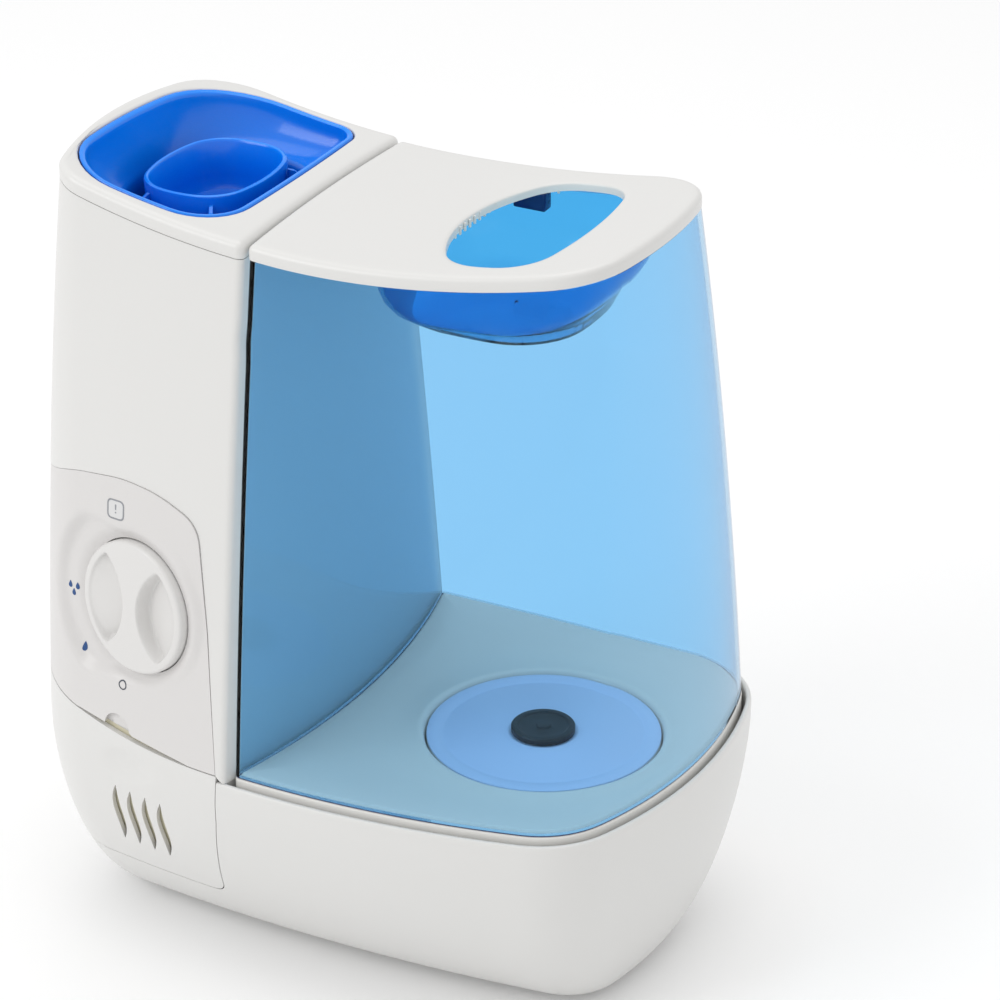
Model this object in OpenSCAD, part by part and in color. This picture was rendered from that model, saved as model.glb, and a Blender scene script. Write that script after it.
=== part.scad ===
// Warm mist humidifier: a tall steam tower and a lift-off water tank on one reservoir base.
// Frame: millimetres, +Z up, the tower at -X, the tank at +X, the control panel facing -Y.
// The origin is under the middle of the base, on the surface that the feet stand on.

/* [Body] */
// Length of the base at its rim
body_len = 290; // [280:1:300]
// Depth of the base at its rim
body_depth = 192; // [188:1:196]
// Height of the base's rim above the floor
rim_z = 100; // [98:1:102]
// Height of the underside above the floor
under_z = 3; // [2.5:0.5:4]
// Length of the body at its top
top_len = 250; // [244:1:254]
// Depth of the body at its top
top_depth = 128; // [124:1:134]
// Height of the top surface at the middle of the body
top_z = 326; // [320:1:332]
// How much higher the two ends of the top are than its middle
top_rise = 13; // [8:0.5:15]
// Radius of the front of the body in plan, at the rim
front_r = 420; // [380:5:600]
// Radius of the two ends of the body in plan, at the rim
end_r = 197; // [180:1:220]
// Radius of the body's corners in plan, at the rim
corner_r = 41; // [36:1:44]

/* [Walls and gaps] */
// Wall of the white mouldings
wall = 2.4; // [2:0.1:3]
// Wall of the clear tank
tank_wall = 2.4; // [2:0.1:3]
// Gap between the tower and the tank
tank_gap = 1.6; // [1.2:0.1:2]
// Gap at the seams of the panels
seam = 0.4; // [0.3:0.05:0.5]

/* [Tower] */
// X of the tower's edge towards the tank, at the rim
edge_x = -25; // [-27:0.5:-23]
// How far the tower's face bulges towards the tank, at the rim
face_bulge = 11; // [8:0.5:12]
// Height of the cap on top of the tower
cap_h = 7; // [6:0.5:8]
// X of the steam chimney's axis
chimney_x = -82; // [-84:1:-78]

/* [Control] */
// Diameter of the control knob
knob_d = 57; // [54:1:60]
// Height of the knob from its back face to the top of its grip
knob_h = 9; // [8:0.5:14]
// Diameter of the switch's shaft
shaft_d = 6; // [5:0.5:6.5]
// X of the knob's centre
knob_x = -73; // [-76:1:-70]
// Z of the knob's centre
knob_z = 165; // [160:1:170]

/* [Reservoir] */
// Height of the ledge that the tank stands on
ledge_z = 80; // [78:1:82]
// Height of the floor of the well
well_z = 50; // [48:1:52]
// X of the tank valve's axis
valve_x = 73; // [70:1:76]
// Outside diameter of the valve's skirt
skirt_d = 45; // [42:1:46]
// Diameter of the tank's filler cap
filler_d = 98; // [94:1:100]
// Lift of the valve
valve_lift = 4; // [3:0.5:5]

/* [Hidden] */

// Fineness of the outlines: steps along each side and round each corner
side_n = 6;
corner_n = 4;
fine = 64;
eps = 0.01;

// Lower body: the underside curves in below this height, by this much at the ends and the sides
bowl_z = rim_z - 9;
bowl_in_x = 25;
bowl_in_y = 54;
bowl_power = 1.6;
side_draft = 1.2;

// Tower and tank between the rim and the top
smile_k = top_rise / pow(top_len / 2, 2);
bow = 1.6;
back_r = 8000;
end_y = 14;
body_h = top_z - rim_z;
tilt = atan((body_depth - top_depth) / 2 / body_h);

// Reservoir and tank heights
tank_z = ledge_z + 0.4;
shell_z = rim_z + 3;
lid_h = 6.5;
skirt_z = well_z + 2.5;
pin_top = well_z + 7;
rest_gap = 0.5;
plunger_z = pin_top + rest_gap;
floor_z = shell_z;

function unit(v) = v / norm(v);
function mix(a, b, k) = a + (b - a) * k;
// The crossing of circles (c1, r1) and (c2, r2) that is nearest to the point p
function meet(c1, r1, c2, r2, p) =
    let (d = norm(c2 - c1), u = (c2 - c1) / d, a = (r1 * r1 - r2 * r2 + d * d) / (2 * d),
         h = sqrt(max(r1 * r1 - a * a, 0)), m = c1 + u * a, w = [-u[1], u[0]] * h)
    norm(m + w - p) < norm(m - w - p) ? m + w : m - w;
function turn(a, b) = let (d = b - a) d > 180 ? d - 360 : d < -180 ? d + 360 : d;
// Points on circle (c, r) from the direction of p to the direction of q
function arc(c, r, p, q, n, first = 0, last = 0) =
    let (a = atan2(p[1] - c[1], p[0] - c[0]), t = turn(a, atan2(q[1] - c[1], q[0] - c[0])))
    [for (i = [first : n - last]) c + r * [cos(a + t * i / n), sin(a + t * i / n)]];

// A rounded four-sided outline. A side is [centre, radius], a negative radius is a hollow side.
// The sides go round as front, right, back, left, and corner i follows side i.
function outline(sides, corners, rc) =
    let (cc = [for (i = [0:3]) let (s = sides[i], t = sides[(i + 1) % 4])
             meet(s[0], abs(s[1] - rc[i]), t[0], abs(t[1] - rc[i]), corners[i])])
    [for (i = [0:3]) let (s = sides[i], t = sides[(i + 1) % 4], c = cc[i], c0 = cc[(i + 3) % 4],
             p = s[0] + abs(s[1]) * unit(c - s[0]), q = t[0] + abs(t[1]) * unit(c - t[0]))
        each concat(arc(s[0], abs(s[1]), c0, c, side_n, 1, 1), arc(c, rc[i], p, q, corner_n))];

// Outline of a plan section: x limits, y limits, radii of the front, right, back and left sides,
// the y of the right and left centres, the four corner radii, and the x of the front and back centres
function section(x0, x1, y0, y1, rf, rr, rb, rl, yr, yl, rc, xm = 0) =
    outline([[[xm, y0 + rf], rf], [[x1 - rr, yr], rr], [[xm, y1 - rb], rb], [[x0 + rl, yl], rl]],
        [[x1, y0], [x1, y1], [x0, y1], [x0, y0]], rc);

// Plan section of the whole base at height z, moved in by t
function bowl_k(z) = z >= bowl_z ? 0 :
    1 - pow(1 - pow((bowl_z - z) / (bowl_z - under_z), bowl_power), 1 / bowl_power);
function base_section(z, t) =
    let (k = bowl_k(z), d = t + side_draft * (rim_z - z) / (rim_z - under_z),
         a = body_len / 2 - bowl_in_x * k - d, b = body_depth / 2 - bowl_in_y * k - d,
         rf = front_r + 500 * k - d, re = end_r - 30 * k - d, rc = max(corner_r - 20 * k - t, 3))
    [for (p = section(-a, a, -b, b, rf, re, back_r, re, end_y, end_y, [rc, rc, rc, rc]))
        [p[0], p[1], z]];

// The upper body at fraction s of its height, from the rim to the top
function half_len(s) = mix(body_len, top_len, s) / 2 + bow * 4 * s * (1 - s);
function half_depth(s) = mix(body_depth, top_depth, s) / 2 + bow * 4 * s * (1 - s);
// The rim of the top rises towards both ends, more steeply over the tower
function top_at(x) = top_z + (x < 0 ? left_rise : smile_k) * x * x;
left_rise = 0.0012;
function lift(p, s, z0, drop) = [p[0], p[1], mix(z0, top_at(p[0]) - drop, s)];
function face_x(s) = edge_x - 3 * s;
function bulge(s) = face_bulge - 13 * s;
// Radius of an arc that bulges by h over half chord c, kept away from a straight line
function bulge_r(h, c) = let (g = abs(h) < 0.3 ? 0.3 : h) (c * c + g * g) / (2 * g);
function end_radius(s) = mix(end_r, 180, s);
function body_corner(s) = mix(corner_r, 32, s);
// The front of the tower flattens towards the top, and its outer front corner tightens
function tower_front(s) = 1 / mix(1 / front_r, 1 / 2000, s);
function front_corner(s) = mix(corner_r, 17, s);

// Tower section at fraction s, moved in by t and by tf at the face towards the tank
function tower_section(s, t, z0 = rim_z, drop = 0, tf = undef) =
    let (a = half_len(s) + s - t, b = half_depth(s) - t, h = bulge(s),
         x1 = face_x(s) + h - (tf == undef ? t : tf), rr = bulge_r(h, b - 3) - t,
         re = end_radius(s) - t, rc = body_corner(s) - t, rf = front_corner(s) - t, e = max(3 - t, 0.8))
    [for (p = section(-a, x1, -b, b + 2.5 * s, tower_front(s) - t, rr, back_r, re, 0,
        end_y * (1 - s * 1.1), [e, e, rc, rf])) lift(p, s, z0, drop)];

// Tank section at fraction s, moved in by t; the foot of the tank stands inside the rim
function tank_section(s, t, z0 = rim_z, drop = 0) =
    let (q = t + mix(wall + 1.8, 0.6, s), a = half_len(s) - q, b = half_depth(s) - q, h = bulge(s),
         x0 = face_x(s) + tank_gap + h + t,
         rl = -bulge_r(h, b - 3) - t, re = end_radius(s) - q, rc = body_corner(s) - q, e = max(3 - t, 0.8))
    [for (p = section(x0, a, -b, b, front_r - q, re, back_r, rl, end_y * (1 - s / 2), 0,
        [rc, rc, e, e]))
        lift(p, s, z0, drop)];

// A closed skin through rings of equal length; the last ring joins the first one
module tube_skin(rings) {
    n = len(rings[0]);
    m = len(rings);
    polyhedron([for (r = rings) each r],
        [for (j = [0 : m - 1], i = [0 : n - 1]) let (a = j * n + i, b = j * n + (i + 1) % n,
             c = ((j + 1) % m) * n + (i + 1) % n, d = ((j + 1) % m) * n + i) each [[a, c, b], [a, d, c]]]);
}

// A solid through rings of equal length, closed at both ends round the middle of the end ring
module solid_skin(rings) {
    n = len(rings[0]);
    m = len(rings);
    polyhedron(concat([for (r = rings) each r], [middle(rings[0]), middle(rings[m - 1])]),
        concat([for (j = [0 : m - 2], i = [0 : n - 1]) let (a = j * n + i, b = j * n + (i + 1) % n)
                    each [[a, b + n, b], [a, a + n, b + n]]],
            [for (i = [0 : n - 1]) [i, (i + 1) % n, m * n]],
            [for (i = [0 : n - 1]) [(m - 1) * n + (i + 1) % n, (m - 1) * n + i, m * n + 1]]));
}
function sum(v, i = 0) = i == len(v) - 1 ? v[i] : v[i] + sum(v, i + 1);
function middle(ring) = sum(ring) / len(ring);
function steps(a, b, n) = [for (i = [0 : n]) mix(a, b, i / n)];

// A place on the leaning front of the tower, where +Z points out of the front
function front_y(x, z) = let (s = (z - rim_z) / body_h, r = tower_front(s))
    r - half_depth(s) - sqrt(r * r - x * x);
module at_front(x, z) translate([x, front_y(x, z), z])
    rotate([0, 0, asin(x / tower_front((z - rim_z) / body_h))])
    rotate([90 - tilt, 0, 0]) children();

// A rounded rectangle seen from the front, as a prism from y0 to y1
module front_prism(x0, x1, z0, z1, r, y0, y1)
    translate([0, y1, 0]) rotate([90, 0, 0]) linear_extrude(y1 - y0)
        hull() for (x = [x0 + r, x1 - r], z = [z0 + r, z1 - r]) translate([x, z]) circle(r, $fn = 32);

module ring(r_out, r_in, z0, z1) translate([0, 0, z0]) difference() {
    cylinder(r = r_out, h = z1 - z0, $fn = fine);
    translate([0, 0, -1]) cylinder(r = r_in, h = z1 - z0 + 2, $fn = fine);
}
module rod(r, z0, z1) translate([0, 0, z0]) cylinder(r = r, h = z1 - z0, $fn = fine);

// ---- Base ----
bowl_levels = concat(steps(under_z, bowl_z, 9), [rim_z]);
panel_left = -150;
vent_top = rim_z + 4;
vent_low = 34;
vent_right = -29;

module base_wall(t0, t1)
    tube_skin(concat([for (z = bowl_levels) base_section(z, t0)],
        [for (i = [len(bowl_levels) - 1 : -1 : 0]) base_section(max(bowl_levels[i], under_z), t1)]));

module vent_window(gap)
    front_prism(panel_left + gap, vent_right - gap, vent_low + gap, vent_top + 8, 9, -110, -38 - gap);

// The outer shell of the base, open at the top, with the window for the vent panel
module base_shell() color("ghostwhite") difference() {
    base_wall(0, wall);
    vent_window(0);
    at_cord() rod(inlet_hole_r, -20, 20);
}
inlet_hole_r = 6;
cord_y = 76;
cord_z = 45;
module at_cord() translate([chimney_x + 10, cord_y, cord_z]) rotate([-90, 0, 0]) children();

// The flat plate that closes the underside
module base_plate() color("gainsboro") difference() {
    union() {
        solid_skin([base_section(under_z, wall + 0.4), base_section(plate_top, wall + 5)]);
        translate([chimney_x, 0, 0]) ring(28, 26, plate_top - eps, plate_top + 9);
    }
    for (p = foot_spots) translate([p[0], p[1], 0]) rod(foot_r + 0.1, -1, under_z + 1);
    for (p = screw_spots) translate([p[0], p[1], 0]) {
        rod(screw_r + 0.2, -1, plate_top + 1);
        rod(screw_head_r + 0.3, -1, under_z + 1.6);
    }
}
foot_x = 80;
foot_y = 25;
foot_r = 7;
leg_r = 3.3;
leg_at = 36.2;
foot_spots = [for (x = [-foot_x, foot_x], y = [-foot_y, foot_y]) [x, y]];
leg_spots = [for (a = [45 : 90 : 315]) [chimney_x + leg_at * cos(a), leg_at * sin(a)]];
post_y = 28;
tray_spots = [for (y = [-post_y, post_y]) [valve_x - 28, y]];
screw_spots = concat(leg_spots, tray_spots);
plate_t = 3;
plate_top = under_z + plate_t;
screw_r = 1.5;
screw_head_r = 2.5;

module rubber_feet() color("dimgray")
    for (p = foot_spots) translate([p[0], p[1], 0]) rod(foot_r, 0, under_z + 1);

// Screws from below, into the legs of the heating chamber and the posts of the tray
screw_len = 12;
module base_screws() color("silver")
    for (p = screw_spots) translate([p[0], p[1], 0]) {
        rod(screw_head_r, under_z + 0.8, under_z + 1.6);
        rod(screw_r, under_z + 1.6, under_z + screw_len);
    }
module screw_pilot() rod(screw_r, 0, under_z + screw_len + 1);

// ---- Reservoir ----
tray_fit = wall + 0.3;
chamber_x0 = -13.5;
chamber_x1 = 7;
chamber_y0 = -76;
chamber_y1 = 22;
chamber_z = 57;
back_x0 = -20;
back_x1 = 16;
back_y1 = 68;

// The well in plan at height z; it narrows towards its floor
function well_section(z, t) =
    let (k = (ledge_z - z) / (ledge_z - well_z), x0 = mix(9.5, 26, k) - t, x1 = mix(129, 118, k) + t,
         y = mix(70, 57, k) + t, e = mix(10, 14, k) + t)
    [for (p = section(x0, x1, -y, y, 300 + t, 150 + t, 900 + t, 900 + t, 0, 0, [34, 34, e, e], 60))
        [p[0], p[1], z]];
function ledge_ring(z, t) =
    let (a = body_len / 2 - side_draft - t, b = body_depth / 2 - side_draft - t, rc = corner_r - t)
    [for (p = section(back_x0 - 8, a, -b, b, front_r - t, end_r - t, back_r, back_r, end_y, 0,
        [rc, rc, 3, 3])) [p[0], p[1], z]];

// The tray: ledge, well, latch channel, sump, posts, valve seat and pin
module water_tray() color("whitesmoke") difference() {
    union() {
        difference() {
            solid_skin([ledge_ring(ledge_z - wall, tray_fit + 1), ledge_ring(ledge_z, tray_fit + 0.4)]);
            solid_skin([well_section(ledge_z - wall - 1, wall / 2), well_section(ledge_z + 1, wall / 2)]);
        }
        tube_skin(concat([for (z = steps(well_z - wall, ledge_z - eps, 5)) well_section(z, wall)],
            [for (z = steps(ledge_z - eps, well_z - wall, 5)) well_section(z, 0)]));
        solid_skin([well_section(well_z - wall + 2 * eps, wall / 2), well_section(well_z, wall / 2)]);
        channel_box(wall);
        translate([valve_x, 0, 0]) {
            ring(28, skirt_d / 2 + 1, well_z - eps, well_z + 1.6);
            rod(3, well_z - eps, pin_top);
            rod(5.5, well_z - eps, well_z + 2);
        }
        for (p = tray_spots) translate([p[0], p[1], 0])
            rod(leg_r + 1, plate_top + 0.2, well_z - wall + eps);
        sump_body();
    }
    sump_hollow();
    at_inlet() cylinder(r = inlet_r, h = sump_at + 1, $fn = fine);
    channel_hollow();
    for (p = tray_spots) translate([p[0], p[1], 0]) screw_pilot();
}
// The outlet in the corner of the well, and the line of the tube from it to the heating chamber
inlet_z = 46.5;
inlet_r = 3;
sump_x = 15.5;
sump_y = 46;
sump_half = 4.5;
sump_low = inlet_z - inlet_r - 0.6;
sump_at = norm([sump_x - chimney_x, sump_y]);
inlet_dir = atan2(sump_y, sump_x - chimney_x);
module sump_body() translate([sump_x - wall, sump_y - sump_half - wall, sump_low - wall])
    cube([8.5, 2 * (sump_half + wall), well_z + 6 - sump_low + wall]);
module sump_hollow() {
    translate([sump_x, sump_y - sump_half, sump_low])
        cube([5.2, 2 * sump_half, well_z + 4.4 - sump_low]);
    translate([sump_x + 4, sump_y - sump_half + 0.2, well_z + 0.3])
        cube([11, 2 * sump_half - 0.4, 3.8]);
}
module at_inlet() translate([chimney_x, 0, inlet_z]) rotate([0, 0, inlet_dir])
    rotate([0, 90, 0]) children();
module channel_box(t) {
    top = ledge_z - 2 * eps - chamber_z + t;
    translate([chamber_x0 - t, chamber_y0 - t, chamber_z - t])
        cube([chamber_x1 - chamber_x0 + 1.5 * t, chamber_y1 - chamber_y0 + 2 * t, top]);
    translate([back_x0 - t, chamber_y1, chamber_z - t])
        cube([back_x1 - back_x0 + 2 * t - 3, back_y1 - chamber_y1 + t, top]);
}
module channel_hollow() {
    translate([chamber_x0, chamber_y0, chamber_z])
        cube([chamber_x1 - chamber_x0 - 1.5, chamber_y1 - chamber_y0, ledge_z - chamber_z + 1]);
    translate([back_x0, chamber_y1 + wall, chamber_z])
        cube([chamber_x1 - back_x0 - 1.5, back_y1 - chamber_y1 - wall, ledge_z - chamber_z + 1]);
}

// The blue slide that locks the tray to the tower
latch_fit = 0.6;
latch_z = chamber_z + 5;
latch_x0 = chamber_x0 + latch_fit;
latch_x1 = chamber_x1 - 1.5 - latch_fit;
module tray_latch() color("royalblue") {
    translate([latch_x0 + 1, -65, latch_z + 4]) cube([latch_x1 - latch_x0 - 1, 39, 6]);
    translate([latch_x0 + 4, -27, latch_z]) cube([latch_x1 - latch_x0 - 4, 44, 7]);
    difference() {
        translate([latch_x0, 12.5, latch_z]) cube([latch_x1 - latch_x0, 7.5, 14]);
        translate([latch_x0, 20, latch_z - 1]) rotate([0, 0, 45]) cube([6, 6, 32], center = true);
    }
    for (y = [-60, 4]) translate([latch_x0 + 7, y, chamber_z + rest_gap])
        cube([6, 6, latch_z + 5 - chamber_z]);
}

// ---- Tower ----
tower_levels = steps(0, 1, 7);
panel_top = 216;
panel_right = -33;
spigot_in = wall + 0.5;

module tower_wall(t0, t1)
    tube_skin(concat([for (s = tower_levels) tower_section(s, t0, rim_z, cap_h)],
        [for (i = [len(tower_levels) - 1 : -1 : 0]) tower_section(tower_levels[i], t1, rim_z, cap_h)]));
module panel_window(gap)
    front_prism(panel_left + gap, panel_right - gap, rim_z - 40, panel_top - gap, 14, -110, -40 - gap);
module tower_housing() color("ghostwhite") {
    difference() {
        tower_wall(0, wall);
        panel_window(0);
    }
    tube_skin([tower_section(0, spigot_in + 1.4, ledge_z + rest_gap, 0, 0),
        tower_section(0, spigot_in, rim_z - 8, 0, 0),
        tower_section(0, spigot_in, rim_z + 0.5, 0, 0.2),
        tower_section(0, spigot_in + wall, rim_z + 0.5, 0, wall),
        tower_section(0, spigot_in + wall, rim_z - 8, 0, wall),
        tower_section(0, spigot_in + 1.4 + wall, ledge_z + rest_gap, 0, wall)]);
}

// Opening for the cup in the top of the tower
function cup_outline(t, drop) =
    [for (p = section(-120.6 + t, -41.5 - t, -55.5 + t, 61 - t, 1000 - t, 1200 - t, 1200, 300 - t, 20, -15,
        [24 - t, 11 - t, 40 - t, 28 - t], -76)) [p[0], p[1], top_at(p[0]) - drop]];
module tower_cap() color("ghostwhite")
    tube_skin([tower_section(1, 0, rim_z, cap_h - 0.3), tower_section(1, 0, rim_z, 1.2),
        tower_section(1, 1.2, rim_z, 0), cup_outline(0, 0), cup_outline(0, cap_h - 0.3)]);

// The blue cup: a funnel with an inner cup held by four ribs
cup_y = 3;
cup_x = -79;
cup_drop = 7;
cup_low = 282;
cup_rim = top_at(cup_x) - cup_drop;
function cup_oval(t, z) = let (a = 25 - t, b = 32 - t, rc = 17 - t)
    [for (p = section(cup_x - a, cup_x + a, cup_y - b, cup_y + b, 45 - t, 70 - t, 45 - t, 70 - t,
        cup_y, cup_y, [rc, rc, rc, rc], cup_x)) [p[0], p[1], z]];
function funnel(t, k) = [for (i = [0 : len(cup_outline(0, 0)) - 1])
        mix(cup_outline(0.8 + t + 3 * sin(90 * k), 0.6)[i], cup_oval(-7 + t, cup_low)[i], pow(k, 0.8))];
module medicine_cup() color("royalblue") {
    tube_skin(concat([for (k = [1, 0.7, 0.4, 0.12]) funnel(0, k)],
        [cup_outline(0.5, 2), cup_outline(0.5, -0.3), cup_outline(3, 0.3)],
        [for (k = [0.12, 0.4, 0.7, 1]) funnel(1.8, k)]));
    difference() {
        solid_skin([cup_oval(6, cup_low + 8), cup_oval(3, cup_low + 10), cup_oval(0, cup_rim)]);
        solid_skin([cup_oval(8, cup_low + 10), cup_oval(5, cup_low + 12), cup_oval(1.8, cup_rim + 1)]);
    }
    for (a = [0, 90, 180, 270]) translate([cup_x, cup_y, cup_low + 14]) rotate([0, 0, a])
        translate([a % 180 == 0 ? 23 : 30, -1, 0]) cube([a % 180 == 0 ? 10 : 14.5, 2, 12]);
}

// The chimney from the heating chamber up to the cup
duct_r = 24;
chamber_top = 118;
module steam_duct() color("gainsboro") translate([chimney_x, 0, 0]) {
    ring(duct_r, duct_r - 2, chamber_top + 20 - eps, cup_low - 2);
    translate([0, 0, chamber_top]) difference() {
        cylinder(r1 = 35, r2 = duct_r, h = 20, $fn = fine);
        translate([0, 0, -eps]) cylinder(r1 = 33, r2 = duct_r - 2, h = 20.1, $fn = fine);
    }
}

dish_r = 34;
dish_depth = 5;
bore_gap = 0.05;
bush_r = 5;
// The dial faces a little further round and further forward than the panel
dial_turn = 7;
dial_lean = 4;
module at_dial() at_front(knob_x, knob_z) rotate([dial_lean, -dial_turn, 0]) children();

module control_panel() color("ghostwhite") difference() {
    union() {
        intersection() {
            tower_wall(0, wall);
            panel_window(seam);
            translate([-160, -120, rim_z + 0.2]) cube([200, 200, 200]);
        }
        intersection() {
            at_dial() rod(dish_r + 2.5, -dish_depth - wall, 7);
            solid_skin([for (s = tower_levels) tower_section(s, 0.3, rim_z, cap_h)]);
            panel_window(seam + 0.2);
        }
    }
    at_dial() {
        rod(dish_r, -dish_depth, 16);
        rod(bush_r + 0.3, -20, 1);
    }
    at_front(lens_x, lens_z) translate([-5.3, -5.3, -12]) cube([10.6, 10.6, 20]);
}
lens_x = -84;
lens_z = 204;

module control_knob() color("white") at_dial() difference() {
    union() {
        rod(knob_d / 2, -dish_depth + rest_gap, -dish_depth + rest_gap + 5);
        intersection() {
            rod(knob_d / 2 - 1, 0, knob_h - dish_depth + rest_gap);
            translate([-7, -knob_d / 2, -1]) cube([14, knob_d, knob_h]);
        }
        rod(7, -dish_depth + rest_gap, knob_h - dish_depth - 2);
    }
    difference() {
        rod(shaft_d / 2, -10, knob_h - dish_depth - 4);
        translate([-5, shaft_d / 2 - 0.8, -11]) cube([10, 5, 30]);
    }
}
module knob_shaft() color("silver") at_dial() difference() {
    rod(shaft_d / 2, -26, knob_h - dish_depth - 4.5);
    translate([-5, shaft_d / 2 - 0.8, -6]) cube([10, 5, 30]);
}
module rotary_switch() color("dimgray") at_dial() difference() {
    union() {
        rod(bush_r, -14, -dish_depth - 0.1);
        rod(bush_r + 3, -wall - dish_depth - 2.6, -wall - dish_depth - 0.1);
        translate([-15, -15, -33]) cube([30, 30, 20]);
        for (x = [-9, 0, 9]) translate([x - 1.5, -3, -39]) cube([3, 0.8, 7]);
    }
    rod(shaft_d / 2 + bore_gap, -27, 0);
}
module indicator_lens() color("lightgray") at_front(lens_x, lens_z)
    translate([-5, -5, -wall - 1]) cube([10, 10, wall + 1]);
module indicator_lamp() color("orange") at_front(lens_x, lens_z) {
    rod(2.5, -12, -wall - 1.2);
    translate([-8, -6, -13.6]) cube([16, 12, 1.6]);
}

// ---- Heating ----
chamber_r = 34;
heat_z = 36;
module heating_chamber() color("gainsboro") translate([chimney_x, 0, 0]) difference() {
    union() {
        ring(chamber_r, chamber_r - 2.5, heat_z + 6, chamber_top);
        ring(chamber_r + 4, chamber_r - 5, heat_z + 6, heat_z + 9);
        for (a = [45 : 90 : 315]) rotate([0, 0, a]) translate([leg_at, 0, 0])
            rod(leg_r, plate_top + 0.2, heat_z + 7);
    }
    for (a = [45 : 90 : 315]) rotate([0, 0, a]) translate([leg_at, 0, 0]) screw_pilot();
    rotate([0, 0, inlet_dir]) translate([0, 0, inlet_z]) rotate([0, 90, 0])
        cylinder(r = inlet_r, h = chamber_r + 8, $fn = fine);
}
module heater_gasket() color("orangered") translate([chimney_x, 0, 0])
    ring(chamber_r - 1.5, chamber_r - 6, heat_z + 4.5, heat_z + 6);
module heater_plate() color("silver") translate([chimney_x, 0, 0]) {
    rod(chamber_r - 1.5, heat_z + 1.5, heat_z + 4.5);
    ring(24, 17, heat_z - 3.5, heat_z + 1.5);
}
module thermostat() color("tan") translate([chimney_x, 0, 0]) {
    rod(8, heat_z - 6, heat_z + 1.5);
    for (y = [-5, 5]) translate([-1.5, y - 0.4, heat_z - 11]) cube([3, 0.8, 6]);
}
module thermal_fuse() color("white") translate([chimney_x + 28, -7, heat_z - 0.6]) rotate([-90, 0, 0])
    cylinder(r = 2, h = 14, $fn = fine);
module inlet_tube() color("lightblue") at_inlet() difference() {
    translate([0, 0, chamber_r - 1.5])
        cylinder(r = inlet_r - 0.1, h = sump_at - chamber_r + 0.7, $fn = fine);
    cylinder(r = inlet_r - 1, h = 2 * sump_at, $fn = fine);
}
module terminal_block() color("ivory") {
    translate([chimney_x + 38, -36, under_z + 3]) cube([12, 24, 9]);
    for (y = [-32, -24, -16]) translate([chimney_x + 44, y, 0]) rod(2, under_z + 11, under_z + 14);
}
module cord_inlet() color("dimgray") at_cord() difference() {
    union() {
        rod(inlet_hole_r - 0.1, -6, 10);
        rod(inlet_hole_r + 2, -6, -3);
    }
    rod(3.2, -7, 11);
}

module vent_panel() color("ghostwhite") difference() {
    intersection() {
        base_wall(0, wall);
        vent_window(seam);
        translate([-160, -120, 0]) cube([200, 200, rim_z - 0.2]);
    }
    for (i = [0:3]) translate([-81 + 8 * i, -60, 63 - i]) rotate([90, 8, 0]) linear_extrude(60)
        hull() for (z = [-13, 13]) translate([0, z]) circle(r = 1.6, $fn = 32);
}

// ---- Tank ----
tank_levels = steps(0, 1, 7);
module tank_shell() color("dodgerblue", 0.5)
    tube_skin(concat([for (s = tank_levels) tank_section(s, 0.2, shell_z, lid_h)],
        [for (i = [len(tank_levels) - 1 : -1 : 0]) tank_section(tank_levels[i], tank_wall, shell_z, lid_h)]));
module tank_gasket() color("gray")
    tube_skin([tank_section(0, 0.3, shell_z - 0.7), tank_section(0, 0.3, shell_z - 0.1),
        tank_section(0, tank_wall, shell_z - 0.1), tank_section(0, tank_wall, shell_z - 0.7)]);
collar_r = filler_d / 2 + 0.3;
module tank_base() color("ghostwhite") difference() {
    union() {
        tube_skin([tank_section(0, 6, tank_z), tank_section(0, 2, tank_z + 3),
            tank_section(0, 0, tank_z + 9), tank_section(0, 0, floor_z - 0.8),
            tank_section(0, 8, floor_z - 0.8), tank_section(0, 8, tank_z)]);
        solid_skin([tank_section(0, 4, floor_z - 4), tank_section(0, 4, floor_z - 0.8)]);
        translate([valve_x, 0, 0]) rod(collar_r + 3, floor_z - 17, floor_z - 0.8);
    }
    translate([valve_x, 0, 0]) rod(collar_r, 0, 200);
}
// The outline of the hand opening, moved in by t
function hand_outline(t, drop) =
    [for (p = section(38 + t, 93 - t, -46 + t, 48 - t, 62 - t, 180 - t, 62 - t, 72 - t, 2, 0,
        [19 - t, 17 - t, 20 - t, 20 - t], 66)) [p[0], p[1], top_at(p[0]) - drop]];
module tank_lid() color("ghostwhite")
    tube_skin([tank_section(1, 0, shell_z, lid_h - 0.2), tank_section(1, 0, shell_z, 2),
        tank_section(1, 0.8, shell_z, 0.6), tank_section(1, 2.4, shell_z, 0),
        hand_outline(0, 0), hand_outline(0, 3.4), tank_section(1, 4, shell_z, 3.4),
        tank_section(1, 4, shell_z, lid_h - 0.2)]);
function pocket(t, k, drop) = let (y = mix(50, 38, k) - t)
    [for (p = section(mix(14, 28, k) + t, mix(109, 96, k) - t, -y, y, 240 - t, 160 - t, 400 - t, 400 - t,
        2, 0, [28 - t, 26 - t, 18 - t, 18 - t], 60)) [p[0], p[1], top_at(p[0]) - drop]];
module handle_pocket() color("dodgerblue", 0.5) 
    tube_then_floor([[0, 4.1], [0, 6], [0.1, 18], [0.5, 28], [1, 33]], 1.8);
// A bowl: walls through the levels [k, drop], then a floor
module tube_then_floor(levels, t) difference() {
    solid_skin([for (i = [len(levels) - 1 : -1 : 0]) pocket(0, levels[i][0], levels[i][1])]);
    solid_skin([for (i = [len(levels) - 1 : -1 : 0])
        pocket(t, levels[i][0], levels[i][1] - (i == 0 ? 1 : t))]);
}
module handle_catch() color("navy") translate([36, 39.2, top_at(46) - 12]) difference() {
    cube([15, 7, 8]);
    translate([-1, -1, -1]) rotate([45, 0, 0]) cube([17, 4, 4]);
}

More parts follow.
